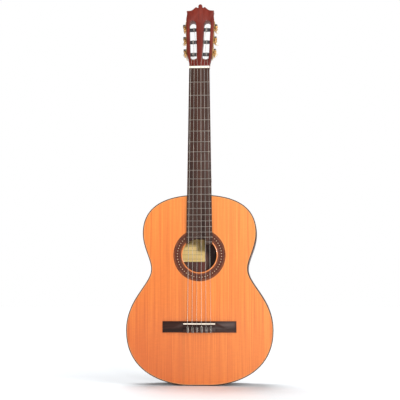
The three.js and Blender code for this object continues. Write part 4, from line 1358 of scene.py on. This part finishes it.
# ---------- properties and panel ----------
def colour_property(name, description, default):
    return bpy.props.FloatVectorProperty(
        name=name, description=description, subtype="COLOR", size=3, min=0, max=1, default=default,
    )


def place_property(name, description, default):
    return bpy.props.FloatVectorProperty(
        name=name, description=description, subtype="XYZ", unit="LENGTH", default=default,
    )


def number_property(name, description, default, least=0):
    return bpy.props.FloatProperty(name=name, description=description, default=default, min=least)


class GuitarColours(bpy.types.PropertyGroup):
    """The wood colours that a user would change"""

    cedar: colour_property("Cedar", "Main colour of the top", (0.72, 0.200, 0.030))
    cedar_dark: colour_property("Cedar grain", "Colour of the top's darker grain", (0.55, 0.120, 0.015))
    side: colour_property("Sides", "Colour of the sides and back", (0.125, 0.030, 0.014))
    side_dark: colour_property("Side grain", "Darker grain of the sides and back", (0.040, 0.008, 0.005))
    neck: colour_property("Neck", "Colour of the neck", (0.20, 0.038, 0.016))
    neck_dark: colour_property("Neck grain", "Darker grain of the neck", (0.10, 0.014, 0.007))
    rosewood: colour_property("Fingerboard", "Colour of the fingerboard", (0.075, 0.034, 0.024))
    rosewood_dark: colour_property("Board grain", "Darker grain of the fingerboard", (0.018, 0.008, 0.006))


class GuitarView(bpy.types.PropertyGroup):
    """The camera and the lights"""

    lens: number_property("Lens", "Focal length of the camera", 89.446, 10)
    camera_place: place_property("Camera place", "Where the camera stands", (0.18, -2.55, 0.2279))
    camera_aim: place_property("Camera aim", "The point that the camera looks at", (0.0015, -0.05, 0.4644))
    key_power: number_property("Key light", "Strength of the main light", 1.35)
    front_power: number_property("Front light", "Strength of the light in front", 2.1)
    rear_power: number_property("Rear light", "Strength of the light behind", 2.6)
    surround: number_property("Surround", "Strength of the white surround", 0.34)


STEPS = (
    GUITAR_OT_stage, GUITAR_OT_soundboard, GUITAR_OT_sides, GUITAR_OT_back, GUITAR_OT_inside, GUITAR_OT_neck,
    GUITAR_OT_head, GUITAR_OT_fingerboard, GUITAR_OT_bridge, GUITAR_OT_strings, GUITAR_OT_tuners,
)


class GUITAR_PT_panel(bpy.types.Panel):
    """Lists the guitar's pieces in the order they are made"""

    bl_label = "Classical Guitar"
    bl_idname = "GUITAR_PT_panel"
    bl_space_type = "VIEW_3D"
    bl_region_type = "UI"
    bl_category = "Guitar"

    def draw(self, context):
        for step in STEPS:
            self.layout.operator(step.bl_idname)
        for group in (context.scene.guitar_colours, context.scene.guitar_view):
            for name in group.__annotations__:
                self.layout.prop(group, name)


CLASSES = (GuitarColours, GuitarView, *STEPS, GUITAR_PT_panel)


def register():
    for one in CLASSES:
        bpy.utils.register_class(one)
    bpy.types.Scene.guitar_colours = bpy.props.PointerProperty(type=GuitarColours)
    bpy.types.Scene.guitar_view = bpy.props.PointerProperty(type=GuitarView)


def unregister():
    del bpy.types.Scene.guitar_colours
    del bpy.types.Scene.guitar_view
    for one in reversed(CLASSES):
        bpy.utils.unregister_class(one)


def main():
    register()
    for step in STEPS:
        group, action = step.bl_idname.split(".")
        getattr(getattr(bpy.ops, group), action)()
    bpy.context.view_layer.update()


if __name__ == "__main__":
    main()
